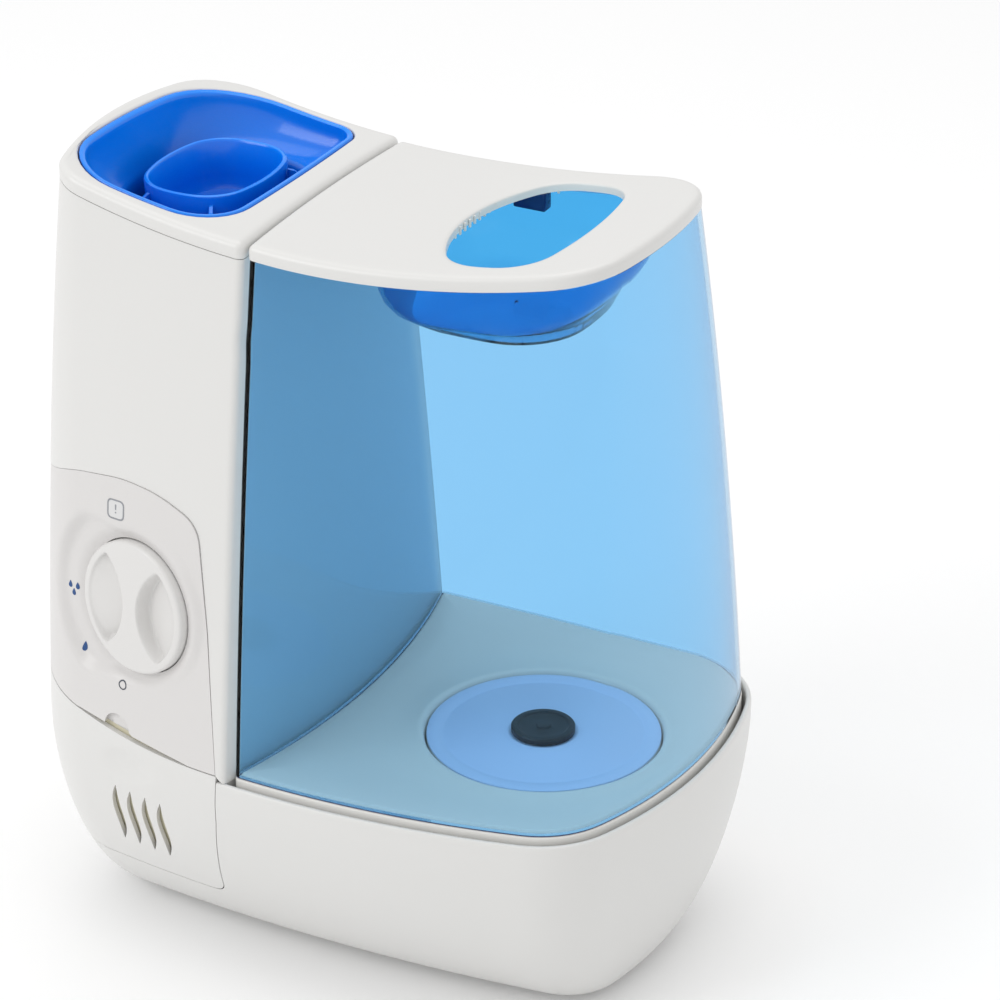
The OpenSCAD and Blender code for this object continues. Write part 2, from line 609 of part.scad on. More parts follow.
// ---- Valve, in the tank's filler cap ----
cap_top = floor_z;
seat_r = 9;
guide_z = 60;
spring_r = 11;
wire_r = 0.6;
coil_turns = 5;
coil_n = 70;
flange_z = cap_top - 20;
module valve_cap() color("whitesmoke") translate([valve_x, 0, 0]) difference() {
    union() {
        rod(filler_d / 2 - 0.3, cap_top - 3, cap_top);
        ring(filler_d / 2 - 0.3, filler_d / 2 - 3, cap_top - 20, cap_top - 3 + eps);
        ring(filler_d / 2 + 2, filler_d / 2 - 3, cap_top - 21.6, cap_top - 19.7);
        rod(filler_d / 2 - 2.5, 76, 79);
        ring(filler_d / 2 - 2.5, filler_d / 2 - 6, 78, 84);
        ring(skirt_d / 2, skirt_d / 2 - 2, skirt_z, cap_top - 3 + eps);
        rod(shaft_d / 2 + 2, guide_z, guide_z + 5);
        for (a = [0, 120, 240]) rotate([0, 0, a]) translate([0, -1, guide_z])
            cube([skirt_d / 2 - 1, 2, 5]);
        for (a = [0, 180]) rotate([0, 0, a + 27]) translate([filler_d / 2 - 8, -1.2, 57])
            cube([5.5, 2.4, 24]);
    }
    rod(skirt_d / 2 - 2, 70, cap_top - 3);
    rod(seat_r, 70, 200);
    rod(shaft_d / 2 + bore_gap, 0, 90);
}
module cap_seal() color("gray") translate([valve_x, 0, 0])
    ring(filler_d / 2 + 1.6, filler_d / 2 - 0.3, cap_top - 19.6, cap_top - 17.2);
module valve_plunger() color("white") translate([valve_x, 0, 0]) {
    rod(shaft_d / 2, plunger_z, cap_top + 0.2);
    rod(spring_r + 1.2, flange_z - 2, flange_z);
}
module valve_disc() color("black") translate([valve_x, 0, 0]) difference() {
    rod(13.5, cap_top + 0.2, cap_top + 3.2);
    translate([0, 0, cap_top + 3.2]) rod(10, -0.6, 1);
}
module valve_spring() color("silver") translate([valve_x, 0, 0])
    solid_skin([for (i = [0 : coil_n]) let (a = 360 * coil_turns * i / coil_n,
        z = mix(flange_z + wire_r + 0.1, cap_top - 3.1 - wire_r, i / coil_n))
        [for (b = [0 : 45 : 315]) let (r = spring_r - wire_r * cos(b))
            [r * cos(a), r * sin(a), z + wire_r * sin(b)]]]);

base_shell();
base_plate();
rubber_feet();
base_screws();
water_tray();
tray_latch();
vent_panel();
tower_housing();
tower_cap();
medicine_cup();
steam_duct();
control_panel();
control_knob();
knob_shaft();
rotary_switch();
indicator_lens();
indicator_lamp();
heating_chamber();
heater_gasket();
heater_plate();
thermostat();
thermal_fuse();
inlet_tube();
terminal_block();
cord_inlet();
tank_shell();
tank_base();
tank_gasket();
tank_lid();
handle_pocket();
handle_catch();
valve_cap();
cap_seal();
valve_plunger();
valve_disc();
valve_spring();
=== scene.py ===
import math
import bmesh
import bpy
import numpy as np
from mathutils import Matrix, Vector
from mathutils.bvhtree import BVHTree
from mathutils.interpolate import poly_3d_calc


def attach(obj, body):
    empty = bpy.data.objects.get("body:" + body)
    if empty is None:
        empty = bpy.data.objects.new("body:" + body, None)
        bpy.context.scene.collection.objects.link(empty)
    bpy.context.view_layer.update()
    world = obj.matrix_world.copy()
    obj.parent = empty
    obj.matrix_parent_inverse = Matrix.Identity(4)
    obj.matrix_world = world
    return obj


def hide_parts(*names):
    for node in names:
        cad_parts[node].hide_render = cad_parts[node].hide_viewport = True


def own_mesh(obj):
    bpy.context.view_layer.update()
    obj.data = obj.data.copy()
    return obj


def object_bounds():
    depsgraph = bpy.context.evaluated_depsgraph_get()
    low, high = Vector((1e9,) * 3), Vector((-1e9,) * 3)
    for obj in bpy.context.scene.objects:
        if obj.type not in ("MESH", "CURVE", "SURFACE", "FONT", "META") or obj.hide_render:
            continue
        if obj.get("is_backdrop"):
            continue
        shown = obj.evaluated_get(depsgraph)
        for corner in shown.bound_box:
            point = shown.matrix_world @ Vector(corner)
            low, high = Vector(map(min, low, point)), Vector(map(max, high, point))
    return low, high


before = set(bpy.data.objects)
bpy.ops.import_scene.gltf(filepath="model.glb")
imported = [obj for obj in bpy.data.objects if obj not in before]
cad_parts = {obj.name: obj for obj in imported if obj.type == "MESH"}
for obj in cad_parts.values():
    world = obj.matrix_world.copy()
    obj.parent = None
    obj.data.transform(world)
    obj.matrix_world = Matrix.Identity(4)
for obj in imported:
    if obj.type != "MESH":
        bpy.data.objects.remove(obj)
cad_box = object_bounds()
MM = 0.001
SIDE, CORNER = 26, 9
rad = math.radians

# ------------------------------ sizes, mm
BODY_LEN, BODY_DEPTH, RIM, UNDER = 290.0, 192.0, 100.0, 3.0
TOP_LEN, TOP_DEPTH, TOP_Z, TOP_RISE = 250.0, 128.0, 326.0, 13.0
FRONT_R, END_R, CORNER_R, BACK_R, END_Y = 420.0, 197.0, 41.0, 8000.0, 14.0
WALL, TANK_GAP, EDGE_X, BULGE, CAP_H = 2.4, 1.6, -25.0, 11.0, 7.0
BOWL_Z, BOWL_X, BOWL_Y, BOWL_P, DRAFT = 91.0, 25.0, 54.0, 1.6, 1.2
LEDGE, WELL, VALVE_X = 80.0, 50.0, 73.0
TANK_Z, SHELL_Z, LID_H = 80.4, 103.0, 6.5
KNOB = (-73.0, 165.0)
TILT = math.atan((BODY_DEPTH - TOP_DEPTH) / 2 / (TOP_Z - RIM))
SMILE = TOP_RISE / (TOP_LEN / 2) ** 2
BOW = 1.6  # how much the tall walls swell at mid height
LEFT_RISE = 0.0012  # the top climbs as this times x squared, left of the middle
TOP_FRONT_R, TOP_END_R, TOP_CORNER_R, TOP_FRONT_CORNER = 2000, 180, 32, 17
FOOT_SPOTS = [(x, y) for x in (-80, 80) for y in (-25, 25)]


def mix(a, b, k):
    return a + (b - a) * k


def smooth(a, b, x):
    t = np.clip((np.asarray(x, float) - a) / (b - a), 0, 1)
    return t * t * (3 - 2 * t)


def versed(a):
    """1 - cos of an angle in degrees, for rounded edges."""
    return 1 - math.cos(rad(a))


def coversed(a):
    return 1 - math.sin(rad(a))


def turned(x, y, a):
    """Puts a piece at x, y in mm, turned by a degrees about the vertical."""
    return Matrix.Translation((x * MM, y * MM, 0)) @ Matrix.Rotation(rad(a), 4, "Z")


# ------------------------------ plan outlines
def meet(c1, r1, c2, r2, p):
    """The point nearest p where two circles cross."""
    d = c2 - c1
    n = np.hypot(*d)
    u = d / n
    a = (r1 * r1 - r2 * r2 + n * n) / (2 * n)
    h = math.sqrt(max(r1 * r1 - a * a, 0.0))
    m, w = c1 + u * a, np.array([-u[1], u[0]]) * h
    return m + w if np.hypot(*(m + w - p)) < np.hypot(*(m - w - p)) else m - w


def arc(c, r, p, q, n, first=0, last=0):
    """Points round a circle from p to q, the short way."""
    a = math.atan2(p[1] - c[1], p[0] - c[0])
    t = (math.atan2(q[1] - c[1], q[0] - c[0]) - a + math.pi) % (2 * math.pi) - math.pi
    return [c + r * np.array([math.cos(a + t * i / n), math.sin(a + t * i / n)])
        for i in range(first, n - last + 1)]


def outline(sides, corners, rc):
    """A closed plan outline of four large arcs with rounded corners between them."""
    cc = [meet(sides[i][0], abs(sides[i][1] - rc[i]), sides[(i + 1) % 4][0],
        abs(sides[(i + 1) % 4][1] - rc[i]), corners[i]) for i in range(4)]
    pts = []
    for i in range(4):
        s, t, c, c0 = sides[i], sides[(i + 1) % 4], cc[i], cc[(i + 3) % 4]
        p = s[0] + abs(s[1]) * (c - s[0]) / np.hypot(*(c - s[0]))
        q = t[0] + abs(t[1]) * (c - t[0]) / np.hypot(*(c - t[0]))
        q0 = s[0] + abs(s[1]) * (c0 - s[0]) / np.hypot(*(c0 - s[0]))
        pts += arc(s[0], abs(s[1]), q0, p, SIDE, 1, 1) + arc(c, rc[i], p, q, CORNER)
    return np.array(pts)


def section(x0, x1, y0, y1, rf, rr, rb, rl, yr, yl, rc, xm=0.0):
    """A plan outline from its box, its side radii and its corner radii."""
    v = lambda a, b: np.array([a, b], float)
    return outline([(v(xm, y0 + rf), rf), (v(x1 - rr, yr), rr), (v(xm, y1 - rb), rb),
        (v(x0 + rl, yl), rl)], [v(x1, y0), v(x1, y1), v(x0, y1), v(x0, y0)], rc)


def at_z(p, z):
    return np.column_stack([p, np.broadcast_to(z, len(p))])


def bowl_k(z):
    """How far the bowl of the base has drawn in at height z, from 0 to 1."""
    if z >= BOWL_Z:
        return 0.0
    k = min((BOWL_Z - z) / (BOWL_Z - UNDER), 1.0)
    return 1 - (1 - k ** BOWL_P) ** (1 / BOWL_P)


def base_dims(z, t):
    k = bowl_k(z)
    d = t + DRAFT * (RIM - z) / (RIM - UNDER)
    return (BODY_LEN / 2 - BOWL_X * k - d, BODY_DEPTH / 2 - BOWL_Y * k - d, FRONT_R + 500 * k - d,
        END_R - 30 * k - d, max(CORNER_R - 20 * k - t, 3.0))


def base_section(z, t):
    a, b, rf, re, rc = base_dims(z, t)
    return at_z(section(-a, a, -b, b, rf, re, BACK_R, re, END_Y, END_Y, [rc] * 4), z)


def half_len(s):
    return mix(BODY_LEN, TOP_LEN, s) / 2 + BOW * 4 * s * (1 - s)


def half_depth(s):
    return mix(BODY_DEPTH, TOP_DEPTH, s) / 2 + BOW * 4 * s * (1 - s)


def top_at(x):
    x = np.asarray(x, float)
    return TOP_Z + np.where(x < 0, LEFT_RISE, SMILE) * x ** 2


def tower_front(s):
    return 1 / mix(1 / FRONT_R, 1 / TOP_FRONT_R, s)


def front_corner(s):
    return mix(CORNER_R, TOP_FRONT_CORNER, s)


def lift(p, s, z0, drop):
    return np.column_stack([p, mix(z0, top_at(p[:, 0]) - drop, s)])


def bulge_r(h, c):
    g = 0.3 if abs(h) < 0.3 else h
    return (c * c + g * g) / (2 * g)


def tower_section(s, t, z0=RIM, drop=0.0, tf=None):
    """The tower's outline at share s of its height, drawn in by t."""
    a, b, h = half_len(s) + s - t, half_depth(s) - t, BULGE - 13 * s
    x1 = EDGE_X - 3 * s + h - (t if tf is None else tf)
    rr, re, rc, e = bulge_r(h, b - 3) - t, mix(END_R, TOP_END_R, s) - t, mix(CORNER_R, TOP_CORNER_R,
        s) - t, max(3 - t, 0.8)
    return lift(section(-a, x1, -b, b + 2.5 * s, tower_front(s) - t, rr, BACK_R, re, 0,
        END_Y * (1 - s * 1.1), [e, e, rc, front_corner(s) - t]), s, z0, drop)


def tank_section(s, t, z0=RIM, drop=0.0):
    """The tank's outline at share s of its height, drawn in by t."""
    q = t + mix(WALL + 1.8, 0.6, s)
    a, b, h = half_len(s) - q, half_depth(s) - q, BULGE - 13 * s
    x0 = EDGE_X - 3 * s + TANK_GAP + h + t
    rl, re, rc, e = -bulge_r(h, b - 3) - t, mix(END_R, TOP_END_R, s) - q, mix(CORNER_R, TOP_CORNER_R,
        s) - q, max(3 - t, 0.8)
    return lift(section(x0, a, -b, b, FRONT_R - q, re, BACK_R, rl, END_Y * (1 - s / 2), 0,
        [rc, rc, e, e]), s, z0, drop)


# ------------------------------ mesh tools
def mesh_object(name, verts, faces, sharp=36.0):
    me = bpy.data.meshes.new(name)
    me.from_pydata([tuple(v) for v in np.asarray(verts, float) * MM], [], faces)
    me.update()
    o = bpy.data.objects.new(name, me)
    bpy.context.collection.objects.link(o)
    outward(o)
    shade(o, sharp)
    return o


def outward(o):
    """Merges doubles and turns every face outward."""
    bm = bmesh.new()
    bm.from_mesh(o.data)
    bmesh.ops.remove_doubles(bm, verts=bm.verts, dist=1e-7)
    bmesh.ops.recalc_face_normals(bm, faces=bm.faces)
    bm.to_mesh(o.data)
    bm.free()


def shade(o, sharp=36.0):
    """Smooth shading, with edges sharper than the angle kept crisp."""
    bm = bmesh.new()
    bm.from_mesh(o.data)
    for f in bm.faces:
        f.smooth = True
    for e in bm.edges:
        e.smooth = len(e.link_faces) == 2 and e.calc_face_angle(0) < rad(sharp)
    bm.to_mesh(o.data)
    bm.free()


def skin(name, rings, ends=False, closed=True, sharp=36.0):
    """A skin through rings of equal length: closed into a tube, or capped at both ends."""
    n, m = len(rings[0]), len(rings)
    faces = [(j * n + i, j * n + (i + 1) % n, ((j + 1) % m) * n + (i + 1) % n, ((j + 1) % m) * n + i)
        for j in range(m - 1 if ends or not closed else m) for i in range(n)]
    verts = np.concatenate(rings)
    if ends == "flat":
        faces += [tuple(range(n))[::-1], tuple((m - 1) * n + i for i in range(n))]
    elif ends:
        verts = np.concatenate([verts, [rings[0].mean(0)], [rings[-1].mean(0)]])
        faces += [(i, (i + 1) % n, m * n) for i in range(n)]
        faces += [((m - 1) * n + (i + 1) % n, (m - 1) * n + i, m * n + 1) for i in range(n)]
    return mesh_object(name, verts, faces, sharp)


def circle(r, z, n=96, c=(0.0, 0.0)):
    a = np.linspace(0, 2 * math.pi, n, endpoint=False)
    return np.column_stack([c[0] + r * np.cos(a), c[1] + r * np.sin(a), np.full(n, float(z))])


def lathe(name, profile, n=96, c=(0.0, 0.0), closed=True, sharp=30.0):
    """A turned piece; the profile is (radius, z) and runs round the section."""
    return skin(name, [circle(max(r, 0.01), z, n, c) for r, z in profile], closed=closed, sharp=sharp)


def fillet(points, radii, n=5):
    """Rounds the corners of a closed polygon of 2-D points."""
    out, m = [], len(points)
    for i in range(m):
        p, a, b = np.array(points[i], float), np.array(points[i - 1],
            float), np.array(points[(i + 1) % m], float)
        r = radii[i] if hasattr(radii, "__len__") else radii
        u, v = (a - p) / np.hypot(*(a - p)), (b - p) / np.hypot(*(b - p))
        ang = math.acos(np.clip(u @ v, -1, 1))
        if r <= 0 or ang > 3.1:
            out.append(p)
            continue
        d = min(r / math.tan(ang / 2), np.hypot(*(a - p)) * 0.49, np.hypot(*(b - p)) * 0.49)
        for k in range(n + 1):
            t = k / n
            out.append((1 - t) ** 2 * (p + u * d) + 2 * t * (1 - t) * p + t * t * (p + v * d))
    return np.array(out)


def prism(name, poly, lo, hi, axis="y", bevel=0.0):
    """A 2-D outline extruded along an axis; with a bevel its two ends are rounded over."""
    poly = np.asarray(poly, float)
    c = poly.mean(0)
    put = {"y": lambda p, h: np.column_stack([p[:, 0], np.full(len(p), h), p[:, 1]]),
           "z": lambda p, h: np.column_stack([p, np.full(len(p), h)]),
           "x": lambda p, h: np.column_stack([np.full(len(p), h), p])}[axis]
    if not bevel:
        return skin(name, [put(poly, lo), put(poly, hi)], ends="flat")
    d = np.roll(poly, -1, 0) - np.roll(poly, 1, 0)
    nrm = np.column_stack([d[:, 1], -d[:, 0]]) / np.maximum(np.hypot(d[:, 0], d[:, 1]), 1e-9)[:, None]
    if np.mean(np.sum(nrm * (poly - c), 1)) < 0:
        nrm = -nrm
    rings = []
    for k in (90, 60, 30, 0):
        rings.append(put(poly - nrm * bevel * versed(k), lo + bevel * coversed(k)))
    for k in (0, 30, 60, 90):
        rings.append(put(poly - nrm * bevel * versed(k), hi - bevel * coversed(k)))
    return skin(name, rings, ends="flat")


def boolean(o, cutter, op="DIFFERENCE"):
    """Cuts o with cutter, which is then deleted, or keeps only what both hold."""
    m = o.modifiers.new("b", "BOOLEAN")
    m.object, m.operation, m.solver = cutter, op, "EXACT"
    bpy.context.view_layer.update()
    me = bpy.data.meshes.new_from_object(o.evaluated_get(bpy.context.evaluated_depsgraph_get()))
    o.modifiers.clear()
    old, name = o.data, o.data.name
    o.data = me
    bpy.data.meshes.remove(old)
    me.name = name
    bpy.data.objects.remove(cutter)
    return o


def surface_of(o):
    me = o.data
    return (BVHTree.FromPolygons([v.co.copy() for v in me.vertices],
        [tuple(p.vertices) for p in me.polygons]), [v.co.copy() for v in me.vertices],
        [v.normal.copy() for v in me.vertices], [tuple(p.vertices) for p in me.polygons])


def keep_shading(o, ref, near=4e-5, sharp=36.0):
    """After a cut: faces that still lie on the smooth source surface keep that surface's normals."""
    shade(o, sharp)
    tree, co, no, polys = ref
    me = o.data
    seen = {}

    def at(i):
        if i not in seen:
            loc, n, k, d = tree.find_nearest(me.vertices[i].co)
            if loc is None or d > near:
                seen[i] = None
            else:
                ids = polys[k]
                w = poly_3d_calc([co[j] for j in ids], loc)
                v = Vector((0, 0, 0))
                for j, x in zip(ids, w):
                    v += no[j] * x
                seen[i] = v.normalized()
        return seen[i]
    normals = [Vector(c.vector) for c in me.corner_normals]
    for p in me.polygons:
        for li in p.loop_indices:
            v = at(me.loops[li].vertex_index)
            if v is not None and v.dot(p.normal) > 0.94:
                normals[li] = v
    me.normals_split_custom_set([tuple(n) for n in normals])


def join(name, objs):
    """Several overlapping or touching solids of one moulding become one piece."""
    verts, faces = [], []
    for o in objs:
        k = len(verts)
        verts += [tuple(v.co) for v in o.data.vertices]
        faces += [tuple(k + i for i in p.vertices) for p in o.data.polygons]
        bpy.data.objects.remove(o)
    me = bpy.data.meshes.new(name)
    me.from_pydata(verts, [], faces)
    me.update()
    o = bpy.data.objects.new(name, me)
    bpy.context.collection.objects.link(o)
    shade(o)
    return o


# ------------------------------ materials
def node(nt, kind, props=(), **values):
    """A new shader node with its properties and its inputs' values."""
    n = nt.nodes.new("ShaderNode" + kind)
    for k, v in dict(props).items():
        setattr(n, k, v)
    for k, v in values.items():
        n.inputs[k.replace("_", " ")].default_value = v
    return n


def material(name, color, rough=0.35, var=0.02, bump=0.02, scale=900.0, coat=0.0, **more):
    """Plastic, rubber or metal whose colour and roughness vary a little over the surface."""
    m = bpy.data.materials.new(name)
    m.use_nodes = True
    nt = m.node_tree
    link = nt.links.new
    b = nt.nodes["Principled BSDF"]
    tc = node(nt, "TexCoord")
    big = node(nt, "TexNoise", Scale=14.0, Detail=3.0)
    fine = node(nt, "TexNoise", Scale=scale, Detail=2.0)
    for t in (big, fine):
        link(tc.outputs["Object"], t.inputs["Vector"])
    lo, hi = [max(c * (1 - var), 0) for c in color[:3]], [min(c * (1 + var), 1) for c in color[:3]]
    tone = node(nt, "Mix", {"data_type": "RGBA"}, A=(*lo, 1), B=(*hi, 1))
    link(big.outputs["Fac"], tone.inputs["Factor"])
    link(tone.outputs["Result"], b.inputs["Base Color"])
    mr = node(nt, "MapRange", To_Min=rough * 0.9, To_Max=min(rough * 1.12, 1))
    link(fine.outputs["Fac"], mr.inputs["Value"])
    link(mr.outputs["Result"], b.inputs["Roughness"])
    if bump:
        bp = node(nt, "Bump", Strength=bump, Distance=0.0002)
        link(fine.outputs["Fac"], bp.inputs["Height"])
        link(bp.outputs["Normal"], b.inputs["Normal"])
    b.inputs["Coat Weight"].default_value = coat
    b.inputs["Coat Roughness"].default_value = 0.12
    for k, v in more.items():
        b.inputs[k.replace("_", " ")].default_value = v
    return m


def clear(name, light, deep, rough=0.02, power=2.2):
    """Tinted clear plastic: the tint deepens where the wall is seen edge on."""
    m = material(name, light, rough, 0.0, 0.0)
    nt = m.node_tree
    link = nt.links.new
    b = nt.nodes["Principled BSDF"]
    b.inputs["Transmission Weight"].default_value = 1.0
    b.inputs["IOR"].default_value = 1.2
    # shadow and diffuse rays pass straight through, so that the walls behind stay light
    see = node(nt, "BsdfTransparent", Color=(*[c ** 0.12 for c in light], 1))
    path = node(nt, "LightPath")
    both = node(nt, "MixShader")
    soft = node(nt, "Math", {"operation": "MAXIMUM"})
    link(path.outputs["Is Shadow Ray"], soft.inputs[0])
    link(path.outputs["Is Diffuse Ray"], soft.inputs[1])
    link(soft.outputs[0], both.inputs["Fac"])
    link(b.outputs["BSDF"], both.inputs[1])
    link(see.outputs["BSDF"], both.inputs[2])
    link(both.outputs[0], nt.nodes["Material Output"].inputs["Surface"])
    lw = node(nt, "LayerWeight", Blend=0.5)
    pw = node(nt, "Math", {"operation": "POWER"})
    pw.inputs[1].default_value = power
    mx = node(nt, "Mix", {"data_type": "RGBA"}, A=(*light, 1), B=(*deep, 1))
    link(lw.outputs["Facing"], pw.inputs[0])
    link(pw.outputs[0], mx.inputs["Factor"])
    link(mx.outputs["Result"], b.inputs["Base Color"])
    return m


def paint_recess_shade(m, deep, reach):
    """Paints shade into a material's colour: it turns towards deep, the painted shade colour, where its
    surface is shut in by walls nearer than reach.
    """
    nt = m.node_tree
    b = nt.nodes["Principled BSDF"]
    old = b.inputs["Base Color"].links[0].from_socket
    # painted shade: the occlusion factor mixes the colour towards the dark shade colour in recesses
    ao = node(nt, "AmbientOcclusion", {"samples": 6}, Distance=reach)
    mx = node(nt, "Mix", {"data_type": "RGBA"}, A=(*deep, 1))
    nt.links.new(ao.outputs["AO"], mx.inputs["Factor"])
    nt.links.new(old, mx.inputs["B"])
    nt.links.new(mx.outputs["Result"], b.inputs["Base Color"])
    return m


WHITE = (0.70, 0.695, 0.68)
M = {
    "white": material("white_plastic", WHITE, 0.33, 0.008, 0.03, coat=0.12),
    "panel": material("panel_plastic", (0.665, 0.65, 0.64), 0.36, 0.008, 0.03, coat=0.08),
    "tray": material("tray_plastic", (0.70, 0.69, 0.665), 0.38, 0.008, 0.02, coat=0.05),
    "knob": material("knob_plastic", (0.685, 0.675, 0.662), 0.32, 0.006, 0.03, coat=0.12),
    "inner": material("inner_plastic", (0.62, 0.61, 0.57), 0.5, 0.03, 0.05),
    # the blue cup's colour carries painted shade: darker blue where its funnel and inner cup are shut in
    "blue": paint_recess_shade(material("blue_plastic", (0.0, 0.25, 0.97), 0.2, 0.03, 0.015, coat=0.12),
                   (0.0, 0.085, 0.52), 0.05),
    "latch": material("latch_plastic", (0.003, 0.14, 0.62), 0.22, 0.03, 0.02, coat=0.2),
    "ink": material("drop_ink", (0.010, 0.065, 0.22), 0.45, 0.02, 0.0),
    "ink_dark": material("ring_ink", (0.055, 0.065, 0.085), 0.45, 0.02, 0.0),
    "ink_grey": material("grey_ink", (0.27, 0.28, 0.3), 0.5, 0.02, 0.0),
    "lens": material("lens_plastic", (0.66, 0.66, 0.66), 0.25, 0.01, 0.01),
    "navy": material("navy_plastic", (0.004, 0.02, 0.12), 0.2, 0.05, 0.02),
    "seal": material("seal_rubber", (0.16, 0.16, 0.17), 0.6, 0.08, 0.1),
    "foot": material("foot_rubber", (0.55, 0.55, 0.54), 0.6, 0.06, 0.12),
    "black": material("black_rubber", (0.012, 0.012, 0.014), 0.42, 0.1, 0.08),
    "steel": material("steel", (0.6, 0.6, 0.6), 0.28, 0.05, 0.03, Metallic=1.0),
    "cast": material("cast_aluminium", (0.62, 0.63, 0.64), 0.5, 0.08, 0.2, scale=500, Metallic=1.0),
    "dark": material("dark_plastic", (0.04, 0.04, 0.042), 0.45, 0.08, 0.06),
    "liner": material("liner_plastic", (0.66, 0.62, 0.46), 0.5, 0.03, 0.03),
    "cap_top": material("cap_plastic", (0.50, 0.62, 0.86), 0.35, 0.01, 0.02),
    "amber": material("amber_lamp", (0.8, 0.32, 0.04), 0.3, 0.05, 0.0),
    "tank": clear("tank_plastic", (0.50, 0.76, 0.95), (0.004, 0.045, 0.27), power=5.0),
    "pocket": clear("pocket_plastic", (0.14, 0.56, 0.88), (0.002, 0.12, 0.5), power=3.0),
}


def place(o, mat, body="base", nodes=()):
    """Gives a piece its material and its body, and hides the CAD nodes it stands in for."""
    o.data.materials.clear()
    o.data.materials.append(M[mat])
    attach(o, body)
    if nodes:
        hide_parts(*nodes)
    return o


# ------------------------------ camera, light and floor
AZ, EL, DIST, LENS, SENSOR = rad(27.11), rad(26.68), 1669.3, 147.6, 36.0
TARGET = Vector((52.61, 0, 205.67))
SKY, FLOOR_WHITE, FLOOR_GLOW, FLOOR_HALF = 0.80, 0.91, 0.06, 6000
back = Vector((math.sin(AZ) * math.cos(EL), -math.cos(AZ) * math.cos(EL), math.sin(EL)))
right = Vector((math.cos(AZ), math.sin(AZ), 0))
up = back.cross(right)
cam = bpy.data.objects.new("Camera", bpy.data.cameras.new("Camera"))
bpy.context.collection.objects.link(cam)
cam.data.lens, cam.data.sensor_width, cam.data.sensor_height = LENS, SENSOR, SENSOR
cam.data.clip_start, cam.data.clip_end = 0.05, 20.0
cam.matrix_world = (Matrix.Translation((TARGET + back * DIST) * MM)
    @ Matrix((right, up, back)).transposed().to_4x4())
bpy.context.scene.camera = cam

bpy.context.scene.view_settings.view_transform = "Standard"
world = bpy.data.worlds.new("studio")
world.use_nodes = True
world.node_tree.nodes["Background"].inputs["Color"].default_value = (1, 1, 1, 1)
world.node_tree.nodes["Background"].inputs["Strength"].default_value = SKY
bpy.context.scene.world = world


def light(name, loc, aim, size, power, color=(1, 1, 1)):
    d = bpy.data.lights.new(name, "AREA")
    d.shape, d.size, d.size_y, d.energy, d.color = "RECTANGLE", size[0], size[1], power, color
    o = bpy.data.objects.new(name, d)
    bpy.context.collection.objects.link(o)
    o.location = loc
    o.rotation_euler = (Vector(aim) - Vector(loc)).to_track_quat("-Z", "Y").to_euler()
    return o


light("key", (-1.3, -1.7, 1.5), (0, 0, 0.17), (1.2, 1.2), 14)
light("top", (0.0, 0.2, 2.2), (0, 0, 0.1), (1.8, 1.8), 12)

stage = bpy.data.materials.new("floor_white")
stage.use_nodes = True
paint = stage.node_tree.nodes["Principled BSDF"].inputs
paint["Base Color"].default_value = (FLOOR_WHITE, FLOOR_WHITE, FLOOR_WHITE, 1)
paint["Emission Color"].default_value = (1, 1, 1, 1)
paint["Emission Strength"].default_value = FLOOR_GLOW
paint["Roughness"].default_value = 0.9
paint["Specular IOR Level"].default_value = 0.1
fl = mesh_object("floor", [(x * FLOOR_HALF, y * FLOOR_HALF, 0) for x, y in ((-1, -1), (1, -1), (1, 1),
    (-1, 1))], [(0, 1, 2, 3)])
fl.data.materials.append(stage)
fl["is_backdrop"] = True


# ------------------------------ front surface, shared by the two front panels
def front_line(z, t, x_right=-18.0, y_end=20.0, n=(22, 30, 92)):
    """The body's outline from its left end, round the front left corner, to x_right on the front."""
    if z >= RIM:
        s = (z - RIM) / (TOP_Z + 7 - RIM)
        a, b, rf, rc = half_len(s) + s - t, half_depth(s) - t, tower_front(s) - t, front_corner(s) - t
        re, ye = mix(END_R, TOP_END_R, s) - t, END_Y * (1 - s * 1.1)
    else:
        a, b, rf, re, rc = base_dims(z, t)
        ye = END_Y
    cf, cl = np.array([0.0, -b + rf]), np.array([-a + re, ye])
    c = meet(cf, rf - rc, cl, re - rc, np.array([-a, -b]))
    p = cl + re * (c - cl) / np.hypot(*(c - cl))
    q = cf + rf * (c - cf) / np.hypot(*(c - cf))
    e = np.array([cl[0] - math.sqrt(re * re - (y_end - ye) ** 2), y_end])
    r = np.array([x_right, cf[1] - math.sqrt(rf * rf - x_right ** 2)])
    pts = arc(cl, re, e, p, n[0], 0, 1) + arc(c, rc, p, q, n[1], 0, 1) + arc(cf, rf, q, r, n[2])
    return at_z(np.array(pts), z)


def patch(name, zs, t, shape=None):
    """A curved slab with the body's outer surface on its outside."""
    outer = [front_line(z, 0) for z in zs]
    inner = [front_line(z, t) for z in zs]
    if shape:
        outer = [shape(p, 0.0) for p in outer]
        inner = [shape(p, t) for p in inner]
    n, m = len(outer[0]), len(zs)
    k = m * n
    f = []
    for j in range(m - 1):
        for i in range(n - 1):
            q = (j * n + i, j * n + i + 1, (j + 1) * n + i + 1, (j + 1) * n + i)
            f += [q, tuple(k + v for v in q[::-1])]
        for i in (0, n - 1):
            q = (j * n + i, (j + 1) * n + i, k + (j + 1) * n + i, k + j * n + i)
            f.append(q if i == 0 else q[::-1])
    for i in range(n - 1):
        f.append((i + 1, i, k + i, k + i + 1))
        f.append(((m - 1) * n + i, (m - 1) * n + i + 1, k + (m - 1) * n + i + 1, k + (m - 1) * n + i))
    return mesh_object(name, np.concatenate(outer + inner), f, 50)


def seam_z(x):
    """Height of the seam between the upper front panel and the lower front cover."""
    return 103.0 + 21.0 * np.clip((-30.0 - np.asarray(x)) / 115.0, 0, None) ** 2.2


DIAL_TURN, DIAL_LEAN = 7.0, 4.0


